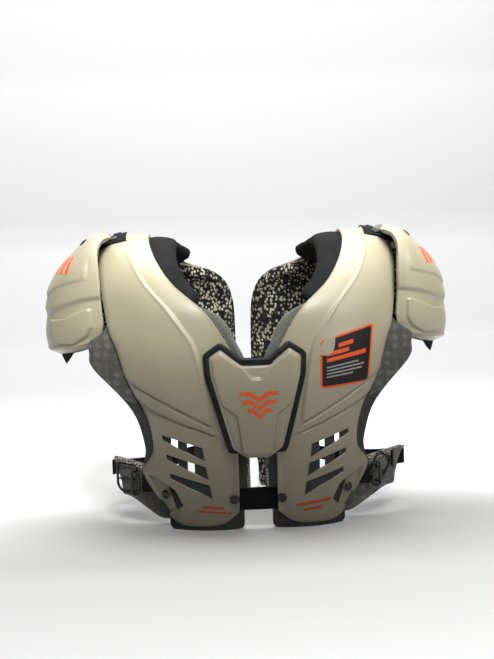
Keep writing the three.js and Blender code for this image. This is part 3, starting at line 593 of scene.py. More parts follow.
# A plate over the chest, cut to an outline in X and Z. top and under give its faces' depth at X and Z.
def draped(name, corners, top, under, materials, step=1.5, side=1, angle=30):
    corners = np.asarray(corners, float)
    low, high = corners.min(0) - 2.17 * step, corners.max(0) + 2.31 * step
    counts = np.maximum(3, np.ceil((high - low) / step).astype(int) + 1)
    z, x = crossed(np.linspace(low[1], high[1], counts[1]), np.linspace(low[0], high[0], counts[0]))
    outer, inner = (np.stack([x, face(x, z), z], -1) for face in (top, under))
    made = skin(name, outer, inner, materials, side, angle)
    return boolean(made, [prism(corners, side)], "INTERSECT", angle)


# Print: a thin sheet over a surface, with no node of its own.
def printed(name, corners, top, under, paint, side=1, step=2.2):
    finish_piece(draped(name, corners, top, under, [paint], step, side), [])


# A closed line through corners, with its points about as far apart as spread.
def spaced(corners, spread):
    line = []
    for a, b in zip(corners, np.roll(corners, -1, 0)):
        count = max(1, int(np.linalg.norm(b - a) / spread))
        line += [a + (b - a) * k / count for k in range(count)]
    return np.array(line)


# A plate over the chest from rings that shrink from an outline to a centre, so that its bevel follows the outline.
def radial(name, outline, centre, top, under, materials, spread=1.5, angle=30):
    line = spaced(outline, spread)
    shares = np.concatenate([[0, 0.01, 0.02, 0.035, 0.05, 0.07, 0.09, 0.115, 0.14], np.linspace(0.17, 0.985, 64)])
    flat = line[None] + (np.asarray(centre) - line)[None] * shares[:, None, None]
    x, z = flat[..., 0], flat[..., 1]
    rings = np.stack([x, top(x, z), z], -1)
    below = np.stack([x, under(x, z), z], -1)[[24, 0]]
    return loft(name, np.concatenate([below, rings]), materials, 1, angle)


def prism(corners, side=1, front=-CHEST_DEPTH - 40, back=60.0):
    count = len(corners)
    points = [(x, y, z) for y in (front, back) for x, z in corners]
    faces = [(j, (j + 1) % count, (j + 1) % count + count, j + count) for j in range(count)]
    faces += [tuple(range(count))[::-1], tuple(range(count, 2 * count))]
    return piece_from("cutter", points, faces, [], side)


def rounded(corners, radius, steps=4):
    corners = np.asarray(corners, float)
    made = []
    for before, at, after in zip(np.roll(corners, 1, 0), corners, np.roll(corners, -1, 0)):
        a, b = before - at, after - at
        reach = min(radius, 0.45 * np.linalg.norm(a), 0.45 * np.linalg.norm(b))
        start, end = at + reach * unit(a), at + reach * unit(b)
        for s in np.linspace(0, 1, steps + 1):
            made.append((1 - s) ** 2 * start + 2 * s * (1 - s) * at + s * s * end)
    return np.array(made)


# Shells

VENT = table(2, "0.353 0.280  0.601 0.319  0.598 0.303  0.464 0.268  0.436 0.263  0.340 0.237")
VENT_CHAMFER = table(2, "-2.2 0.3  1.5 0.8  1.8 -3.0  0.6 -3.4  -1.2 -3.2  -2.8 -3.2")
VENT_STEP = np.array([-0.021, -0.064])
WINDOW = table(2, "0.574 0.146  0.532 0.134  0.484 0.084  0.524 0.067")
WINDOW_CHAMFER = table(2, "0.2 0.8  -1.0 0.8  -1.6 -0.4  -0.6 -1.4")
POCKET = table(2, "90.0 43.4  113.0 55.5  104.0 30.0  96.5 13.0  80.8 22.4")
SIZED = np.array([HALF_WIDTH, HEIGHT])


def shell_rows():
    parts = [np.arange(0, 3.0, 0.05), np.arange(3.0, 4.15, 0.035), np.arange(4.15, 22.2, 0.13)]
    return np.concatenate([*parts, np.arange(22.2, 22.999, 0.1), [LAST_ROW]])


# Shares from neck to arm, close together at both edges and at the ridge.
def shell_columns(u):
    ridge = rows_at(ARCH, u)[RIDGE]
    length = float(arch_length(u))
    near = np.array([0, 0.45, 1.0, 1.8, 3.0]) / length
    ramp = np.linspace(-6, 6, 17) / length
    inner = np.linspace(3.0 / length, ridge - 6 / length, 12)[1:-1]
    field = np.linspace(ridge + 6 / length, 1 - 9 / length, 64)[1:-1]
    far = 1 - np.array([9, 7.5, 6.2, 5, 4, 3, 2.1, 1.3, 0.7, 0.3, 0]) / length
    return np.concatenate([near, inner, ridge + ramp, field, far])


def crease(u, t):
    first = smooth(3.80 + 0.36 * t, 3.92 + 0.44 * t, u)
    second = smooth(3.44 - 0.02 * t, 3.57 + 0.06 * t, u)
    slope = np.clip((u - 3.5 - 0.02 * t) / (0.32 + 0.36 * t), 0, 1)
    return 0.34 * second + 0.24 * slope + 0.42 * first


def shell_relief(u, t, x, z):
    row = rows_at(ARCH, u)
    length = arch_length(u)
    d = (t - row[..., RIDGE]) * length
    to_arm = (1 - t) * length
    front = u < SHOULDER_ROW
    level = np.where(front, crease(u, t), smooth(22.9, 22.0, u))
    rise = PLATEAU * smooth(-3.2, 2.2, d) * level
    rise -= PANEL_SINK * (1 - level) * front * smooth(2.0, 6.0, t * length)
    reach = smooth(4.0, 12.0, to_arm) * smooth(-2.0, 4.0, d) * front
    rise -= 1.5 * bump(u - (3.78 + 0.36 * t), 0.055) * reach
    rise -= 1.2 * bump(u - (3.42 - 0.02 * t), 0.055) * reach
    fade = smooth(4.0, 5.2, u) * smooth(22.0, 20.0, u)
    rise += 0.75 * bump(d - 2.0, 2.0) * fade
    rise -= 1.3 * smooth(7.5, 0, to_arm) * smooth(3.6, 4.4, u) * (0.35 + 0.65 * level)
    rise -= 0.7 * smooth(5.0, 0, to_arm) * smooth(4.4, 3.6, u)
    rise += 0.45 * bump(t * length - 1.0, 0.9)
    panel = smooth(3.3, 3.0, u) * front
    facet = (43.0 - (95.0 - z) * 0.105) - x
    rise -= 0.6 * smooth(-0.5, 12, facet) * panel
    pocket = polygon_distance(POCKET, x, z)
    rise -= POCKET_DEPTH * smooth(0.7, -0.8, pocket) * panel
    return rise


def make_shell():
    us = shell_rows()
    ts = np.array([shell_columns(u) for u in us])
    uu = np.repeat(us[:, None], ts.shape[1], 1)
    point, normal, _ = arch_frame(uu, ts)
    rise = shell_relief(uu, ts, point[..., 0], point[..., 2])
    edge = np.minimum(ts, 1 - ts) * arch_length(uu)
    ends = np.minimum(uu, LAST_ROW - uu) * ROW_RUN
    round_off = EDGE_ROUND * (1 - np.sqrt(np.clip(np.minimum(edge, ends) / EDGE_ROUND, 0, 1)))
    outer = point + normal * (rise - round_off)[..., None]
    inner = point - normal * np.maximum(SHELL_WALL + 0.3, 1.2 - rise)[..., None]
    made = skin("shell_skin", outer, inner, [PLASTIC])
    vents = [slot_cutter((VENT + k * VENT_STEP) * SIZED, VENT_CHAMFER) for k in range(3)]
    boolean(made, [*vents, slot_cutter(WINDOW * SIZED, WINDOW_CHAMFER)])
    pair(made, "shell_skin", "shell")


# A hole's cutter, wider at the face than below it, so that it leaves a chamfer.
def slot_cutter(corners, chamfer):
    rings = []
    for grow, below in ((1.6, -2.6), (1.0, 0.9), (0.0, 3.3), (0.0, 16.0)):
        ring = corners + chamfer * grow
        sides = zip(ring, np.roll(ring, -1, 0))
        x, z = np.array([a + (b - a) * s for a, b in sides for s in np.arange(5) / 5]).T
        rings.append(np.stack([x, chest(x, z) + below, z], -1))
    return loft("cutter", rings, [])


# Sternum plate and its seal

STERNUM = table(2, "0 0.555  0.104 0.556  0.218 0.604  0.291 0.578  0.281 0.516  0.157 0.282  0.072 0.249")


def both_sides(half):
    left = [(-x, z) for x, z in half[::-1] if x > 0]
    return np.array([*half, *left])


def grown(corners, distance):
    made = []
    for before, at, after in zip(np.roll(corners, 1, 0), corners, np.roll(corners, -1, 0)):
        a, b = unit(at - before), unit(after - at)
        out = unit(np.array([-(a[1] + b[1]), a[0] + b[0]]))
        lean = max(0.5, float(out @ np.array([-a[1], a[0]])))
        made.append(at + out * distance / lean)
    return np.array(made)


OUTLINE = both_sides(STERNUM * SIZED)
NOTCH = [(-15.5, 171.2), (-3.2, 156.9), (4.6, 156.9), (17.2, 171.2), (8.0, 190.0), (-8.0, 190.0)]
FLANK = [(34.0, 131.0), (19.7, 119.0), (14.5, 74.0), (14.5, 50.0), (70.0, 50.0), (70.0, 152.0)]


def plate_top(x, z):
    edge = -polygon_distance(rounded(OUTLINE, 3), x, z)
    high = 10.2 - 2.9 * smooth(4.0, 0.3, edge)
    high -= 2.0 * smooth(2.6, -1.2, polygon_distance(NOTCH, x, z))
    flank = polygon_distance(FLANK, np.abs(x), z)
    high -= 2.5 * smooth(0.5, -0.5, flank) * smooth(0.4, 3.0, edge)
    return chest(x, z) - high


def make_sternum():
    outline, middle = rounded(OUTLINE, 2.6), (0.0, 0.43 * HEIGHT)
    made = radial("sternum_skin", outline, middle, plate_top, lambda x, z: chest(x, z) - 4.2, [PLASTIC])
    finish_piece(made, ["sternum_plate"])


def make_gasket():
    ring = rounded(grown(OUTLINE, 5.8), 4)

    def top(x, z):
        out = -polygon_distance(ring, x, z)
        return chest(x, z) - 6.6 + 2.4 * smooth(2.2, 0.0, out) - 0.5 * bump(out - 2.4, 1.2)

    made = draped("sternum_seal", ring, top, lambda x, z: chest(x, z) - 2.8, [RUBBER], 1.1)
    under = prism(grown(OUTLINE, -6.0))
    low = OUTLINE[len(STERNUM) - 2][1] - 5.5
    below = prism([(-90, low - 30), (90, low - 30), (90, low), (-90, low)])
    boolean(made, [under, below], "DIFFERENCE", 30)
    finish_piece(made, ["sternum_gasket"])


EMBLEM_BARS = ((137.5, 1.0), (129.0, 0.86), (120.5, 0.62))
EMBLEM_SHIFT = 2.6
CHEVRON = table(2, "0.0 0.0  9.5 6.2  19.5 6.2  19.5 2.2  10.5 2.2  0.0 -4.6")


def make_emblem():
    for k, (level, reach) in enumerate(EMBLEM_BARS, 1):
        printed(
            f"emblem_bar_{k}",
            both_sides(CHEVRON * [reach, 1.0]) + [EMBLEM_SHIFT, level],
            lambda x, z: plate_top(x, z) - 0.25,
            lambda x, z: plate_top(x, z) + 0.4,
            ORANGE,
            step=2.0,
        )


# Caps


def cap_point(v, w):
    row = rows_at(CAP, v)
    turn = w * math.pi / 2
    out = np.maximum(0, np.cos(turn))
    corner_x, corner_z = row[..., 0] * CAP_REACH, row[..., 2] * CAP_TOP
    x = corner_x + (row[..., 3] * CAP_REACH - corner_x) * out
    y = -row[..., 1] * CAP_DEPTH * np.sin(turn)
    z = corner_z + (row[..., 4] * CAP_TOP - corner_z) * np.power(out, row[..., 5])
    return np.stack([x, y, z], -1)


def cap_frame(v, w):
    step = 0.02
    vs = np.clip(v, step, CAP_LAST - step)
    ws = np.clip(w, step - 1, 1 - step)
    around = cap_point(vs, ws + step) - cap_point(vs, ws - step)
    down = cap_point(vs + step, ws) - cap_point(vs - step, ws)
    return cap_point(v, w), unit(np.cross(around, down))


INSET = table(
    2,
    "167.4 228.5  171.7 229.4  197.7 218.2  212.5 216.9  209.5 200.5  204.0 193.5  186.4 192.2  172.4 200.8 "
    "166.1 210.5",
)


CAP_LAST = len(CAP) - 1
CAP_WING = table(2, "0.84 3.66  0.44 4.06  0.24 4.62  0.10 4.62  0.10 1.6  0.84 2.2") * [CAP_HALF_RUN, CAP_ROW_RUN]


def cap_relief(v, w, p):
    far = np.abs(w)
    upper = 4.75 + 0.65 * smooth(0.95, 0.25, far)
    band = 3.0 * smooth(upper + 0.42, upper, v)
    wing = polygon_distance(CAP_WING, far * CAP_HALF_RUN, v * CAP_ROW_RUN)
    wing = smooth(1.3, -1.0, wing) * smooth(2.0, 3.2, v)
    inset = smooth(0.8, -0.8, polygon_distance(INSET, p[..., 0], p[..., 2])) * (far > 0.12)
    return band + 1.5 * wing + 2.0 * inset - 1.5 * smooth(8.05, 8.7, v) + 1.1 * bump(v - 7.95, 0.15)


def make_cap():
    edge = np.array([0, 0.004, 0.01, 0.02])
    v = np.concatenate([[0, 0.03, 0.08], np.arange(0.16, 8.9, 0.075), [8.93, 8.97, CAP_LAST]])
    w = np.concatenate([-1 + edge, np.linspace(-0.965, 0.965, 110), 1 - edge[::-1]])
    vv, ww = crossed(v, w)
    point, normal = cap_frame(vv, ww)
    to_edge = np.minimum((1 - np.abs(ww)) * CAP_HALF_RUN, np.minimum(vv, CAP_LAST - vv) * CAP_ROW_RUN)
    rise = cap_relief(vv, ww, point) + 0.35 * bump(to_edge - 1.6, 0.9)
    rise -= EDGE_ROUND * (1 - np.sqrt(np.clip(to_edge, 0, 1)))
    made = skin("cap_skin", point + normal * rise[..., None], point - normal * CAP_WALL, [PLASTIC])
    pair(made, "cap_skin", "cap")


def make_cap_pad():
    w = np.linspace(-1, 1, 121)
    vv, ww = crossed(np.concatenate([np.arange(2, 9.01, 0.12), [CAP_LAST]]), w)
    point, normal = cap_frame(vv, ww)
    edge = smooth(0, 0.12, 1 - np.abs(ww)) * smooth(2, 2.6, vv)
    depth = 3.0 + 5.0 * edge + 0.9 * edge * np.cos(ww * 34) * np.cos(vv * 4.2)
    outer = point - normal * (CAP_WALL + CLEARANCE)
    inner = point - normal * (CAP_WALL + CLEARANCE + depth)[..., None]
    for grid in (outer, inner):
        grid[-1, :, 2] -= 1.6 + 11.0 * np.maximum(0, 1 - np.abs(w - 0.43) / 0.16)
    kinds = kinds_of(np.zeros_like(vv[1:, 1:], int), 1, 0)
    made = skin("cap_foam", outer, inner, [ROLL, LINER], 1, 50, kinds)
    pair(made, "cap_foam", "cap_pad")


def make_cap_strap():
    rows = 25
    uu, share = crossed(np.linspace(11, 13, rows), np.linspace(0, 1, 12))
    ridge = rows_at(ARCH, uu)[..., RIDGE] + 0.008
    tt = np.concatenate([ridge + (1 - ridge) * share, np.ones((rows, 3))], 1)
    past = np.concatenate([np.zeros_like(uu), np.tile([2.7, 5.3, 8.0], (rows, 1))], 1)
    uu = np.concatenate([uu, uu[:, :3]], 1)
    outer, inner = (arch_at(uu, tt, PLATEAU + lift - 0.02 * past**2, past) for lift in (1.7, 0.3))
    pair(skin("cap_web", outer, inner, [WEBBING]), "cap_web", "cap_strap")


# Foam


LOBE_BEND = np.array([0.32, -0.42, 0.0])
FRONT_PAD_END, BACK_PAD_START, PAD_ROW = 11.5, 12.5, 0.085


# The foam's faces under the shell over some sections, with the foot, its first (0) or last (-1) row, on the floor.
def pad_grids(us, foot):
    row, neck, arm = arch_ends(us)
    length = np.linalg.norm(arm - neck, axis=-1)[:, None]
    start = -row[:, PAD_IN, None] * HALF_WIDTH / length
    stop = 1 + row[:, PAD_OUT, None] * HALF_WIDTH / length
    t = start + (stop - start) * (0.5 - 0.5 * np.cos(np.linspace(0, 1, PAD_COLUMNS) * math.pi))
    clipped = np.clip(t, 0, 1)
    past = (t - clipped) * length
    uu = np.repeat(us[:, None], t.shape[1], 1)
    past = np.where(past > 0, past * (1 + 0.35 * bump(uu - 4.1, 0.8)), past)
    edge = np.minimum(t - start, stop - t) * length
    near = np.minimum(edge, np.abs(uu - us[-1 - foot]) * ROW_RUN)
    round_off = 2.6 * (1 - quarter(near / 4.0))
    spot = arch_point(uu, clipped)
    pocket = polygon_distance(POCKET, spot[..., 0], spot[..., 2])
    seat = SHELL_WALL + PAD_GAP + 2.4 * smooth(4.0, 0.5, pocket) * (uu < 3.5)
    swell = 1.2 * smooth(0, 6, near) * smooth(1.0, 7.0, np.abs(past))
    depth = PAD_EDGE + (PAD_THICKNESS - PAD_EDGE) * smooth(0, 7, near)
    quilt = np.cos(t * length * 2 * math.pi / QUILT_PITCH) * np.cos(uu * 6.0) * smooth(0, 9, near)
    lobe = np.maximum(past, 0) * smooth(1.6, 3.0, uu) * smooth(8.0, 6.8, uu)
    bent = lobe[..., None] * LOBE_BEND
    outer = arch_at(uu, clipped, -seat - round_off + swell, past) + bent
    inner = arch_at(uu, clipped, -seat - depth + round_off * 0.5 + QUILT_DEPTH * quilt, past) + bent
    away = np.abs(np.linspace(-1, 1, t.shape[1]))
    rise = PAD_FOOT_RISE * (np.maximum(0, away - PAD_FOOT_FLAT) / (1 - PAD_FOOT_FLAT)) ** 2
    outer[foot, :, 2] = inner[foot, :, 2] = rise
    return outer, inner, uu[:-1, :-1], past[:-1, :-1]


def make_front_pad():
    us = np.concatenate([[0.0], np.arange(0.0, FRONT_PAD_END, PAD_ROW), [FRONT_PAD_END]])
    outer, inner, u, past = pad_grids(us, 0)
    kind = np.zeros(u.shape, int)
    kind[(past > 0.5) & (u > 3.4)] = 1
    kind[(past < -0.5) & (u > 4.6)] = 2
    kind[(past < -9.0) & (u < 4.6)] = 4
    looks = [HEATHER, LOBE_WITH_SHADE, BIB, LINER, TRIM]
    made = skin("front_foam", outer, inner, looks, 1, 50, kinds_of(kind, 3, 0))
    tools = [box_cutter(-20, 33.4, -160, -100.5, 19.6, 42.9)]
    for x in (0.422 * HALF_WIDTH, 0.525 * HALF_WIDTH):
        tools.append(box_cutter(x - 3.5, x + 3.5, -170, -60, 58, 103))
    boolean(made, [*tools, roll_solid("cutter", 0.3)], "DIFFERENCE", 50)
    pair(made, "front_foam", "front_pad")


def box_cutter(x0, x1, y0, y1, z0, z1):
    return prism([(x0, z0), (x1, z0), (x1, z1), (x0, z1)], 1, y0, y1)


def make_back_pad():
    rows = np.arange(BACK_PAD_START + 0.05, LAST_ROW, PAD_ROW)
    us = np.concatenate([[BACK_PAD_START], rows, [LAST_ROW, LAST_ROW]])
    outer, inner, _, past = pad_grids(us, -1)
    kinds = kinds_of(np.where(np.abs(past) > 4.0, 2, 0), 1, 2)
    made = skin("back_foam", outer, inner, [HEATHER, LINER, TRIM], 1, 50, kinds)
    boolean(made, [roll_solid("cutter", 0.3)], "DIFFERENCE", 50)
    pair(made, "back_foam", "back_pad")


# Neck roll

ROLL_FRONT, ROLL_BACK = 8.5, 14.6
ROLL_WIDTH, ROLL_HEIGHT, ROLL_REACH, ROLL_SINK = 39.0, 17.5, 13.5, 9.5
ROLL_RUN, ROLL_END = 150.0, 9.0
SWELL_FRAMES = 20


def roll_solid(name, extra=0.0, materials=()):
    us = np.linspace(ROLL_FRONT, ROLL_BACK, 70)
    turn = -2 * math.pi * np.arange(36) / 36
    share = (us - us[0]) / (us[-1] - us[0])
    size = 0.72 + 0.28 * quarter(np.minimum(share, 1 - share) * ROLL_RUN / ROLL_END)[:, None]
    point, normal, across = arch_frame(us, np.zeros_like(us))
    near_front = smooth(0.5, 0.0, share)[:, None]
    centre = point - across * (ROLL_REACH - 5.5 * near_front) - normal * ROLL_SINK
    along = unit(np.gradient(centre, axis=0))
    across = unit(across - (across * along).sum(-1, keepdims=True) * along)
    normal = np.cross(across, along)
    cos, sin = (np.sign(v) * np.abs(v) ** 0.82 for v in (np.cos(turn), np.sin(turn)))
    wide = cos * (ROLL_WIDTH / 2 * (1 - 0.3 * near_front) + extra) * size
    high = sin * (ROLL_HEIGHT / 2 + extra) * size
    ring = centre[:, None] + across[:, None] * wide[..., None] + normal[:, None] * high[..., None]
    return loft(name, ring, list(materials), 1, 60)


def inflate(made, voxel, pressure, cap):
    rest = made.modifiers.new("remesh", "REMESH")
    rest.mode = "VOXEL"
    rest.voxel_size = voxel
    settle(made)
    before = np.array([v.co for v in made.data.vertices])
    cloth = made.modifiers.new("cloth", "CLOTH")
    cloth.settings.use_pressure = True
    cloth.settings.uniform_pressure_force = pressure
    cloth.settings.effector_weights.gravity = 0
    cloth.settings.tension_stiffness = 12
    cloth.settings.bending_stiffness = 1.5
    scene = bpy.context.scene
    for k in range(1, SWELL_FRAMES + 1):
        scene.frame_set(k)
    graph = bpy.context.evaluated_depsgraph_get()
    moved = bpy.data.meshes.new_from_object(made.evaluated_get(graph))
    after = np.array([v.co for v in moved.vertices])
    bpy.data.meshes.remove(moved)
    scene.frame_set(1)
    made.modifiers.clear()
    step = after - before
    far = np.linalg.norm(step, axis=1, keepdims=True)
    step *= np.minimum(1, cap / np.maximum(far, 1e-9))
    made.data.vertices.foreach_set("co", (before + step).ravel())
    made.data.update()
    again = made.modifiers.new("smooth", "SUBSURF")
    again.levels = 1
    settle(made)
    tidy(made.data, 60)


def make_roll():
    made = roll_solid("neck_cushion", -1.2, [ROLL])
    inflate(made, voxel=0.0045, pressure=4.0, cap=0.0024)
    pair(made, "neck_cushion", "neck_roll")


# Rivets


RIVET_PROFILE = table(
    2,
    "4.7 0.2  4.9 0.6  4.8 1.1  4.4 1.5  3.7 1.85  2.9 2.0  2.4 1.85  2.0 1.45  1.3 1.4  0.4 1.5  0.05 1.5",
)


def rivet(name, node, point, normal, count=40):
    other = unit(np.cross(normal, [0.3, 0.2, 0.9]))
    turn = 2 * math.pi * np.arange(count)[:, None] / count
    around = np.cos(turn) * other + np.sin(turn) * np.cross(normal, other)
    rings = [point + normal * h + r * around for r, h in RIVET_PROFILE]
    pair(loft(name, rings, [GLOSS], 1, 32), name, node)


def make_rivets():
    for name, rise in (("inner_rivet", -1.0), ("outer_rivet", -1.5)):
        low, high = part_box(f"{name}_right")
        middle = 500 * np.array(low + high) - SHIFT
        x, z = middle[::2]
        _, normal, _ = arch_frame(sample(FIELD_U, x, z), sample(FIELD_T, x, z))
        rivet(f"{name}_head", name, middle - normal * (1.25 - rise), normal)
    for k, (u, t) in enumerate(((11.35, 0.68), (12.2, 0.62)), 1):
        point, normal, _ = arch_frame(u, t)
        rivet(f"arch_rivet_head_{k}", f"arch_rivet_{k}", point + normal * (PLATEAU + 1.5), normal)
    for k, w in enumerate((0.4, -0.4), 1):
        point, normal = cap_frame(1.35, w)
        rivet(f"cap_rivet_head_{k}", f"cap_rivet_{k}", point + normal * 2.2, normal)


# Straps, flaps and buckles

FLAP = table(
    4,
    "0.560 -0.655 0.020 0.170  0.640 -0.630 0.024 0.195  0.760 -0.590 0.062 0.208  0.870 -0.500 0.090 0.218 "
    "0.985 -0.400 0.094 0.226",
)
FLAP_THICKNESS = 7.0
FLAP_BINDING = 7.5
FLAP_ROW_RUN = 22
BELT_LOW, BELT_HIGH, BELT_THICKNESS = 49.9, 65.9, 1.6
BELT_ROUTE = table(3, "0.940 -0.200 0.172  0.860 0.150 0.148  0.640 0.640 0.125")
WIRE = 2.8
RING_TALL = 28.0
RING = table(2, "-0.5 0.45  0.5 0.50  0.5 -0.28  0.3 -0.46  -0.2 -0.50  -0.5 -0.40")
LOOP = table(2, "-6 13.5  -6 -13.5  6 -13.5  6 13.5")
LOOP_LIFT = CLEARANCE + 1.5 * WIRE
FLAP_LAST = len(FLAP) - 1
SIDES = {
    "right": dict(side=1, reach=1.03, loop_x=126, loop_above=1.1, ring_x=132, ring_z=50, ring_wide=18,
                  ring_turn=36, belt_start=147, sleeve_start=148),
    "left": dict(side=-1, reach=0.955, loop_x=124, loop_above=0.5, ring_x=135, ring_z=48, ring_wide=24,
                 ring_turn=0, belt_start=149.5, sleeve_start=None),
}


def flap_frame(k, reach):
    def at(i):
        row = rows_at(FLAP, np.clip(i, 0, FLAP_LAST))
        past = np.maximum(0, row[..., 0] - FLAP[1, 0])
        x = row[..., 0] + past * (reach - 1) / (1 - FLAP[1, 0])
        return row, np.stack([x * HALF_WIDTH, row[..., 1] * CHEST_DEPTH], -1)

    row, spot = at(k)
    return row, spot, unit(at(k + 0.1)[1] - at(k - 0.1)[1])


def flap_at(x, reach):
    ks = np.linspace(0, FLAP_LAST, 2001)
    return float(np.interp(x, flap_frame(ks, reach)[1][:, 0], ks))


def flap_points(k, level, inward, reach, lowest=0.0):
    row, spot, run = flap_frame(k, reach)
    low = np.maximum(lowest, row[..., 2] * HEIGHT)
    high = row[..., 3] * HEIGHT
    slant = 0.065 * HALF_WIDTH * (level - 1) * smooth(FLAP_LAST - 0.7, FLAP_LAST, k)
    z = low + (high - low) * level
    return np.stack([spot[..., 0] + slant - run[..., 1] * inward, spot[..., 1] + run[..., 0] * inward, z], -1)


def make_flap(word, place):
    side, reach = place["side"], place["reach"]
    ll, kk = crossed(np.linspace(0, 1, 60), np.linspace(0, FLAP_LAST, 90))
    row, _, _ = flap_frame(kk, reach)
    tall = (row[..., 3] - row[..., 2]) * HEIGHT
    near = np.minimum(np.minimum(ll, 1 - ll) * tall, (FLAP_LAST - kk) * FLAP_ROW_RUN)
    round_off = 2.8 * (1 - quarter(near / 3.5))
    roll = 1.6 * bump((1 - ll) * tall - 4.0, 3.0)
    outer = flap_points(kk, ll, round_off - roll, reach)
    inner = flap_points(kk, ll, FLAP_THICKNESS - round_off, reach)
    kinds = kinds_of(((1 - ll) * tall < FLAP_BINDING)[:-1, :-1].astype(int), 2, 1)
    looks = [QUILT if side > 0 else MESH, TRIM, HEATHER]
    made = skin(f"flap_cloth_{word}", outer, inner, looks, side, 50, kinds)
    finish_piece(made, [f"belt_flap_{word}"])
    if place["sleeve_start"]:
        start = flap_at(place["sleeve_start"], reach)
        ll, kk = crossed(np.linspace(0, 1, 24), np.linspace(start, FLAP_LAST, 30))
        outer, inner = (flap_points(kk, ll, -BELT_THICKNESS - up, reach, BELT_LOW - 2.3) for up in (2.6, 0.7))
        made = skin(f"flap_sleeve_{word}", outer, inner, [QUILT], side, 50)
        finish_piece(made, [])


def belt_route(place):
    start = flap_at(place["belt_start"], place["reach"])
    lift = CLEARANCE + BELT_THICKNESS / 2
    points = []
    for k in (start, (start + FLAP_LAST) / 2, FLAP_LAST):
        _, spot, run = flap_frame(k, place["reach"])
        points.append((spot[0] + run[1] * lift, spot[1] - run[0] * lift, (BELT_LOW + BELT_HIGH) / 2))
    points += [tuple(row) for row in BELT_ROUTE * [HALF_WIDTH, BACK_DEPTH, HEIGHT]]
    points += [tuple(arch_at(22.3, t, PLATEAU + 1.3 + BELT_THICKNESS / 2)) for t in (1.0, 0.85, 0.7)]
    return np.array(points)


def ribbon(points, wide, thickness, steps=10):
    dense = rows_at(points, np.linspace(0, len(points) - 1, (len(points) - 1) * steps + 1))
    run = unit(np.gradient(dense[:, :2], axis=0))
    out = np.stack([-run[:, 1], run[:, 0], np.zeros(len(run))], -1)
    levels = np.linspace(-1, 1, 9)[:, None, None]
    shift = out * thickness / 2 * (1 - 0.25 * np.abs(levels) ** 6)
    middle = dense + np.array([0, 0, wide / 2]) * levels
    return middle - shift, middle + shift


def make_belt(word, place):
    outer, inner = ribbon(belt_route(place), BELT_HIGH - BELT_LOW, BELT_THICKNESS)
    made = skin(f"belt_web_{word}", outer, inner, [WEBBING], place["side"])
    finish_piece(made, [f"belt_{word}"])


# A round wire inside a closed outline in X and Z, turned and placed.
def wire_frame(name, corners, at, facing, side, corner, sides=14):
    line = spaced(rounded(grown(corners[::-1], -WIRE / 2), corner, 5), 1.5)
    run = unit(np.roll(line, -1, 0) - np.roll(line, 1, 0))
    angle = -2 * math.pi * np.arange(sides) / sides
    across, deep = WIRE / 2 * np.cos(angle), WIRE / 2 * np.sin(angle)
    x = line[:, 0, None] - run[:, 1, None] * across
    z = line[:, 1, None] + run[:, 0, None] * across
    rings = np.stack(np.broadcast_arrays(x, deep, z), -1)
    return loft(name, rings @ facing + at, [GLOSS], side, 60, True)


# Turned in its own plane, then about Z to face along the flap.
def turned(turn, yaw):
    a, b = math.radians(turn), math.radians(yaw)
    spin = np.array([[math.cos(a), 0, math.sin(a)], [0, 1, 0], [-math.sin(a), 0, math.cos(a)]])
    face = np.array([[math.cos(b), -math.sin(b), 0], [math.sin(b), math.cos(b), 0], [0, 0, 1]])
    return (face @ spin).T


# A place on the flap's outer face, lifted off it, and the flap's heading there in degrees.
def flap_place(x, z, reach, lift):
    _, spot, run = flap_frame(flap_at(x, reach), reach)
    at = np.array([x + run[1] * lift, spot[1] - run[0] * lift, z])
    return at, math.degrees(math.atan2(run[1], run[0]))


def make_buckle(word, place):
    side, reach, wide = place["side"], place["reach"], place["ring_wide"]
    at, yaw = flap_place(place["ring_x"], place["ring_z"], reach, CLEARANCE + WIRE / 2)
    facing = turned(place["ring_turn"], yaw)
    made = wire_frame(f"ring_wire_{word}", RING * [wide, RING_TALL], at, facing, side, 4.0)
    finish_piece(made, [f"buckle_ring_{word}"])
    angle = -2 * math.pi * np.arange(12) / 12
    y, z = WIRE * 0.36 * np.sin(angle), WIRE * 0.36 * np.cos(angle) - 1.0
    rings = [np.stack([np.full(12, x), y, z], -1) for x in np.linspace(-1, 1, 9) * (wide - WIRE) / 2]
    bar = loft(f"ring_bar_{word}", np.array(rings) @ facing + at, [GLOSS], side, 50)
    finish_piece(bar, [])
    at, yaw = flap_place(place["loop_x"], 44, reach, LOOP_LIFT + place["loop_above"])
    made = wire_frame(f"loop_wire_{word}", LOOP, at, turned(0, yaw), side, 3.0)
    finish_piece(made, [f"buckle_loop_{word}"])


def make_tab(word, place):
    end, _ = flap_place(place["loop_x"] - 6.3, 0, place["reach"], LOOP_LIFT + place["loop_above"])
    us = np.linspace(0.55, 0.97, 16)
    point, normal, across = arch_frame(us, np.ones_like(us))
    z = np.linspace(36, 53, 16)

    def grid(out):
        start = point + across * CLEARANCE + normal * (out - 2.0)
        stop = np.stack([np.full(16, end[0]), np.full(16, end[1] - out), z], -1)
        return start[:, None] + (stop - start)[:, None] * np.linspace(0, 1, 14)[:, None]

    made = skin(f"tab_web_{word}", grid(1.0), grid(-1.0), [WEBBING], place["side"])
    finish_piece(made, [f"buckle_tab_{word}"])


def make_front_strap():
    y = float(arch_point(0.0, 0.0)[1]) + SHELL_WALL + CLEARANCE
    zz, xx = crossed(np.linspace(20, 42.5, 24), np.linspace(-33, 33, 60))
    zz = zz - 0.8 * (1 - (xx / 33) ** 2) * smooth(42.5, 20, zz)
    outer = np.stack([xx, y + 0.1 + 0.25 * np.abs((zz - 31) / 11) ** 5, zz], -1)
    inner = np.stack([xx, np.full_like(xx, y + 1.9), zz], -1)
    finish_piece(skin("front_elastic", outer, inner, [WEBBING]), ["front_strap"])


# Generic print: one dark label with bars, and short bars low on each panel


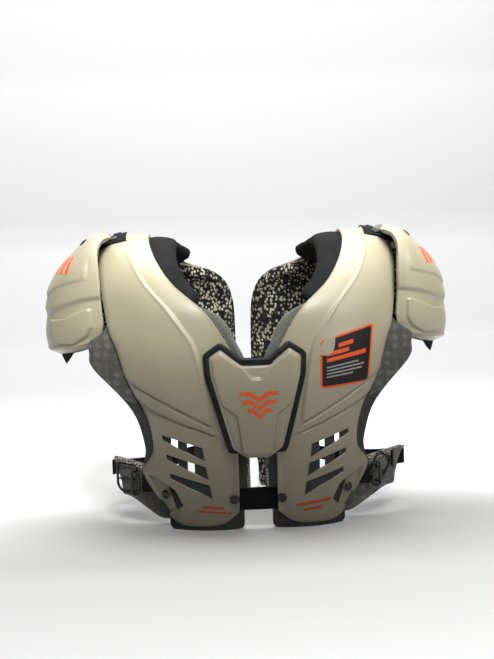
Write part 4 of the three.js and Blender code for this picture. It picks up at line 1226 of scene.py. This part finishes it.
def on_shell(rise):
    def at(x, z):
        u, t = sample(FIELD_U, x, z), sample(FIELD_T, x, z)
        _, normal, _ = arch_frame(u, t)
        return chest(x, z) - (shell_relief(u, t, np.abs(x), z) + rise) / np.maximum(0.4, -normal[..., 1])

    return at


LABEL = [(66.0, 142.4), (119.3, 146.2), (126.5, 206.0), (67.4, 190.5)]


# A point on the label from shares of its width and height.
def on_label(a, b):
    low_left, low_right, high_right, high_left = np.array(LABEL)
    low, high = low_left + (low_right - low_left) * a, high_left + (high_right - high_left) * a
    return low + (high - low) * b


def label_bar(name, a, b, wide, high, paint):
    bar = [on_label(a, b), on_label(a + wide, b), on_label(a + wide, b + high), on_label(a, b + high)]
    printed(name, bar, on_shell(0.75), on_shell(0.3), paint)


def make_label():
    printed("label_edge", rounded(LABEL, 3.5), on_shell(0.35), on_shell(-0.6), ORANGE)
    inner = rounded(grown(np.array(LABEL)[::-1], -2.0), 2.6)
    printed("label_field", inner, on_shell(0.55), on_shell(0.0), DARK_PRINT)
    for k, (a, b, wide) in enumerate(((0.34, 0.76, 0.28), (0.12, 0.64, 0.42), (0.12, 0.52, 0.76)), 1):
        label_bar(f"label_bar_{k}", a, b, wide, 0.075, ORANGE)
    for k, (b, wide) in enumerate(((0.40, 0.62), (0.335, 0.74), (0.27, 0.70), (0.205, 0.52)), 1):
        label_bar(f"label_line_{k}", 0.12, b, wide, 0.026, PALE_PRINT)


# The label's worn upper corner, where its face has come off
def make_scar():
    shares = [(-0.01, 0.72), (0.10, 0.66), (0.24, 0.70), (0.27, 0.84), (0.28, 1.01), (0.10, 1.01), (0.0, 0.9)]
    corners = rounded([on_label(a, b) for a, b in shares], 2.5)
    printed("label_scar", corners, on_shell(0.9), on_shell(-0.2), SCAR)


def make_cap_stripes():
    for k, start in enumerate((0.25, 0.36, 0.47), 1):
        vv, ww = crossed(np.linspace(2.2, 3.3, 40), np.linspace(0, 0.052, 8))
        ww = ww + start + 0.05 * (vv - 2.2)
        point, normal = cap_frame(vv, ww)
        rise = cap_relief(vv, ww, point)[..., None]
        made = skin("cap_stripe", point + normal * (rise + 0.3), point + normal * (rise - 0.3), [ORANGE])
        pair(made, f"cap_stripe_{k}", None)


def make_panel_bars():
    for word, side, k, x, z, wide, high, slope in (
        ("right", 1, 1, 38.8, 21.8, 36.0, 2.9, 0.11),
        ("right", 1, 2, 46.0, 16.6, 20.0, 2.6, 0.11),
        ("left", -1, 1, 35.5, 21.5, 22.0, 2.9, 0.09),
        ("left", -1, 2, 28.0, 16.4, 36.0, 2.2, 0.09),
    ):
        lift = wide * slope
        corners = [(x, z), (x + wide, z + lift), (x + wide, z + lift + high), (x, z + high)]
        printed(f"panel_bar_{word}_{k}", corners, on_shell(0.25), on_shell(-0.4), FADED, side)


def main():
    make_shell()
    make_cap()
    make_cap_pad()
    make_cap_strap()
    make_front_pad()
    make_back_pad()
    make_roll()
    make_rivets()
    for word, place in SIDES.items():
        make_flap(word, place)
        make_belt(word, place)
        make_buckle(word, place)
        make_tab(word, place)
    make_sternum()
    make_gasket()
    make_emblem()
    make_front_strap()
    make_label()
    make_scar()
    make_cap_stripes()
    make_panel_bars()


# Floor, light and camera


def make_stage():
    floor = Look("floor_pale", (0.62, 0.62, 0.62), 0.9)
    floor.bumps(floor.noise(40, 2), 0.0002, 0.05)
    profile = table(2, "-3.0 0.0  1.2 0.0  1.7 0.07  2.1 0.35  2.3 0.9  2.35 3.5")
    line = [a + (b - a) * s for a, b in zip(profile, profile[1:]) for s in np.arange(8) / 8]
    line.append(profile[-1])
    points = [(x, y, z) for y, z in line for x in (-4.0, 4.0)]
    faces = [(2 * k, 2 * k + 1, 2 * k + 3, 2 * k + 2) for k in range(len(line) - 1)]
    mesh = bpy.data.meshes.new("floor")
    mesh.from_pydata(points, [], faces)
    mesh.materials.append(floor.made)
    mesh.polygons.foreach_set("use_smooth", [True] * len(mesh.polygons))
    link("floor", mesh)


def area_light(name, spot, target, size, power, spread=180):
    data = bpy.data.lights.new(name, "AREA")
    data.shape = "RECTANGLE"
    data.size, data.size_y = size
    data.energy = power
    data.spread = math.radians(spread)
    made = link(name, data)
    made.location = spot
    made.rotation_euler = (Vector(target) - Vector(spot)).to_track_quat("-Z", "Y").to_euler()


def make_lights():
    world = bpy.data.worlds.new("studio")
    bpy.context.scene.world = world
    world.use_nodes = True
    background = world.node_tree.nodes["Background"].inputs
    background["Color"].default_value = (1, 1, 1, 1)
    background["Strength"].default_value = 0.015
    area_light("key", (0.05, 0.14, 1.3), (0.02, 0.07, 0.1), (1.2, 0.5), power=14.5)
    area_light("near", (0.13, -0.54, 0.83), (0.04, 0.0, 0.33), (1.6, 0.2), power=4.9, spread=36)
    area_light("front", (0.0, -0.95, 0.9), (0.0, -0.85, 0.0), (1.8, 0.5), power=6, spread=80)
    area_light("wall", (0.0, 1.2, 2.2), (0.0, 2.3, 0.9), (4.0, 1.0), power=83)
    area_light("side", (1.5, -1.3, 0.95), (0.05, 0.0, 0.2), (0.7, 0.7), power=9)


# Where the camera stands, how it is turned from the middle of the object, and its focal length in pixels
VIEW = {
    "azimuth": -2.118, "elevation": 6.531, "roll": -1.8, "distance": 1.201235, "focal": 1067.435,
    "aim_x": -0.01847, "aim_z": 0.137264, "yaw": -0.868, "pitch": -2.866,
}
FRAME_LONG_SIDE = 659
SENSOR = 36


def make_camera():
    def back_of(azimuth, elevation):
        a, e = math.radians(azimuth), math.radians(elevation)
        return Vector((math.sin(a) * math.cos(e), -math.cos(a) * math.cos(e), math.sin(e)))

    roll = math.radians(VIEW["roll"])
    aim = Vector((VIEW["aim_x"], SHIFT[1] / 1000, VIEW["aim_z"]))
    eye = aim + back_of(VIEW["azimuth"], VIEW["elevation"]) * VIEW["distance"]
    back = back_of(VIEW["azimuth"] + VIEW["yaw"], VIEW["elevation"] + VIEW["pitch"])
    right = (-back).cross(Vector((0, 0, 1))).normalized()
    up = right.cross(-back)
    turned_right = right * math.cos(roll) + up * math.sin(roll)
    turned_up = up * math.cos(roll) - right * math.sin(roll)
    data = bpy.data.cameras.new("camera")
    data.sensor_width = SENSOR
    data.lens = VIEW["focal"] / FRAME_LONG_SIDE * SENSOR
    data.clip_start, data.clip_end = 0.05, 50
    made = link("camera", data)
    made.matrix_world = Matrix.Translation(eye) @ Matrix((turned_right, turned_up, back)).transposed().to_4x4()
    bpy.context.scene.camera = made


make_camera()
main()
make_stage()
make_lights()
bpy.context.scene.view_settings.view_transform = "Standard"
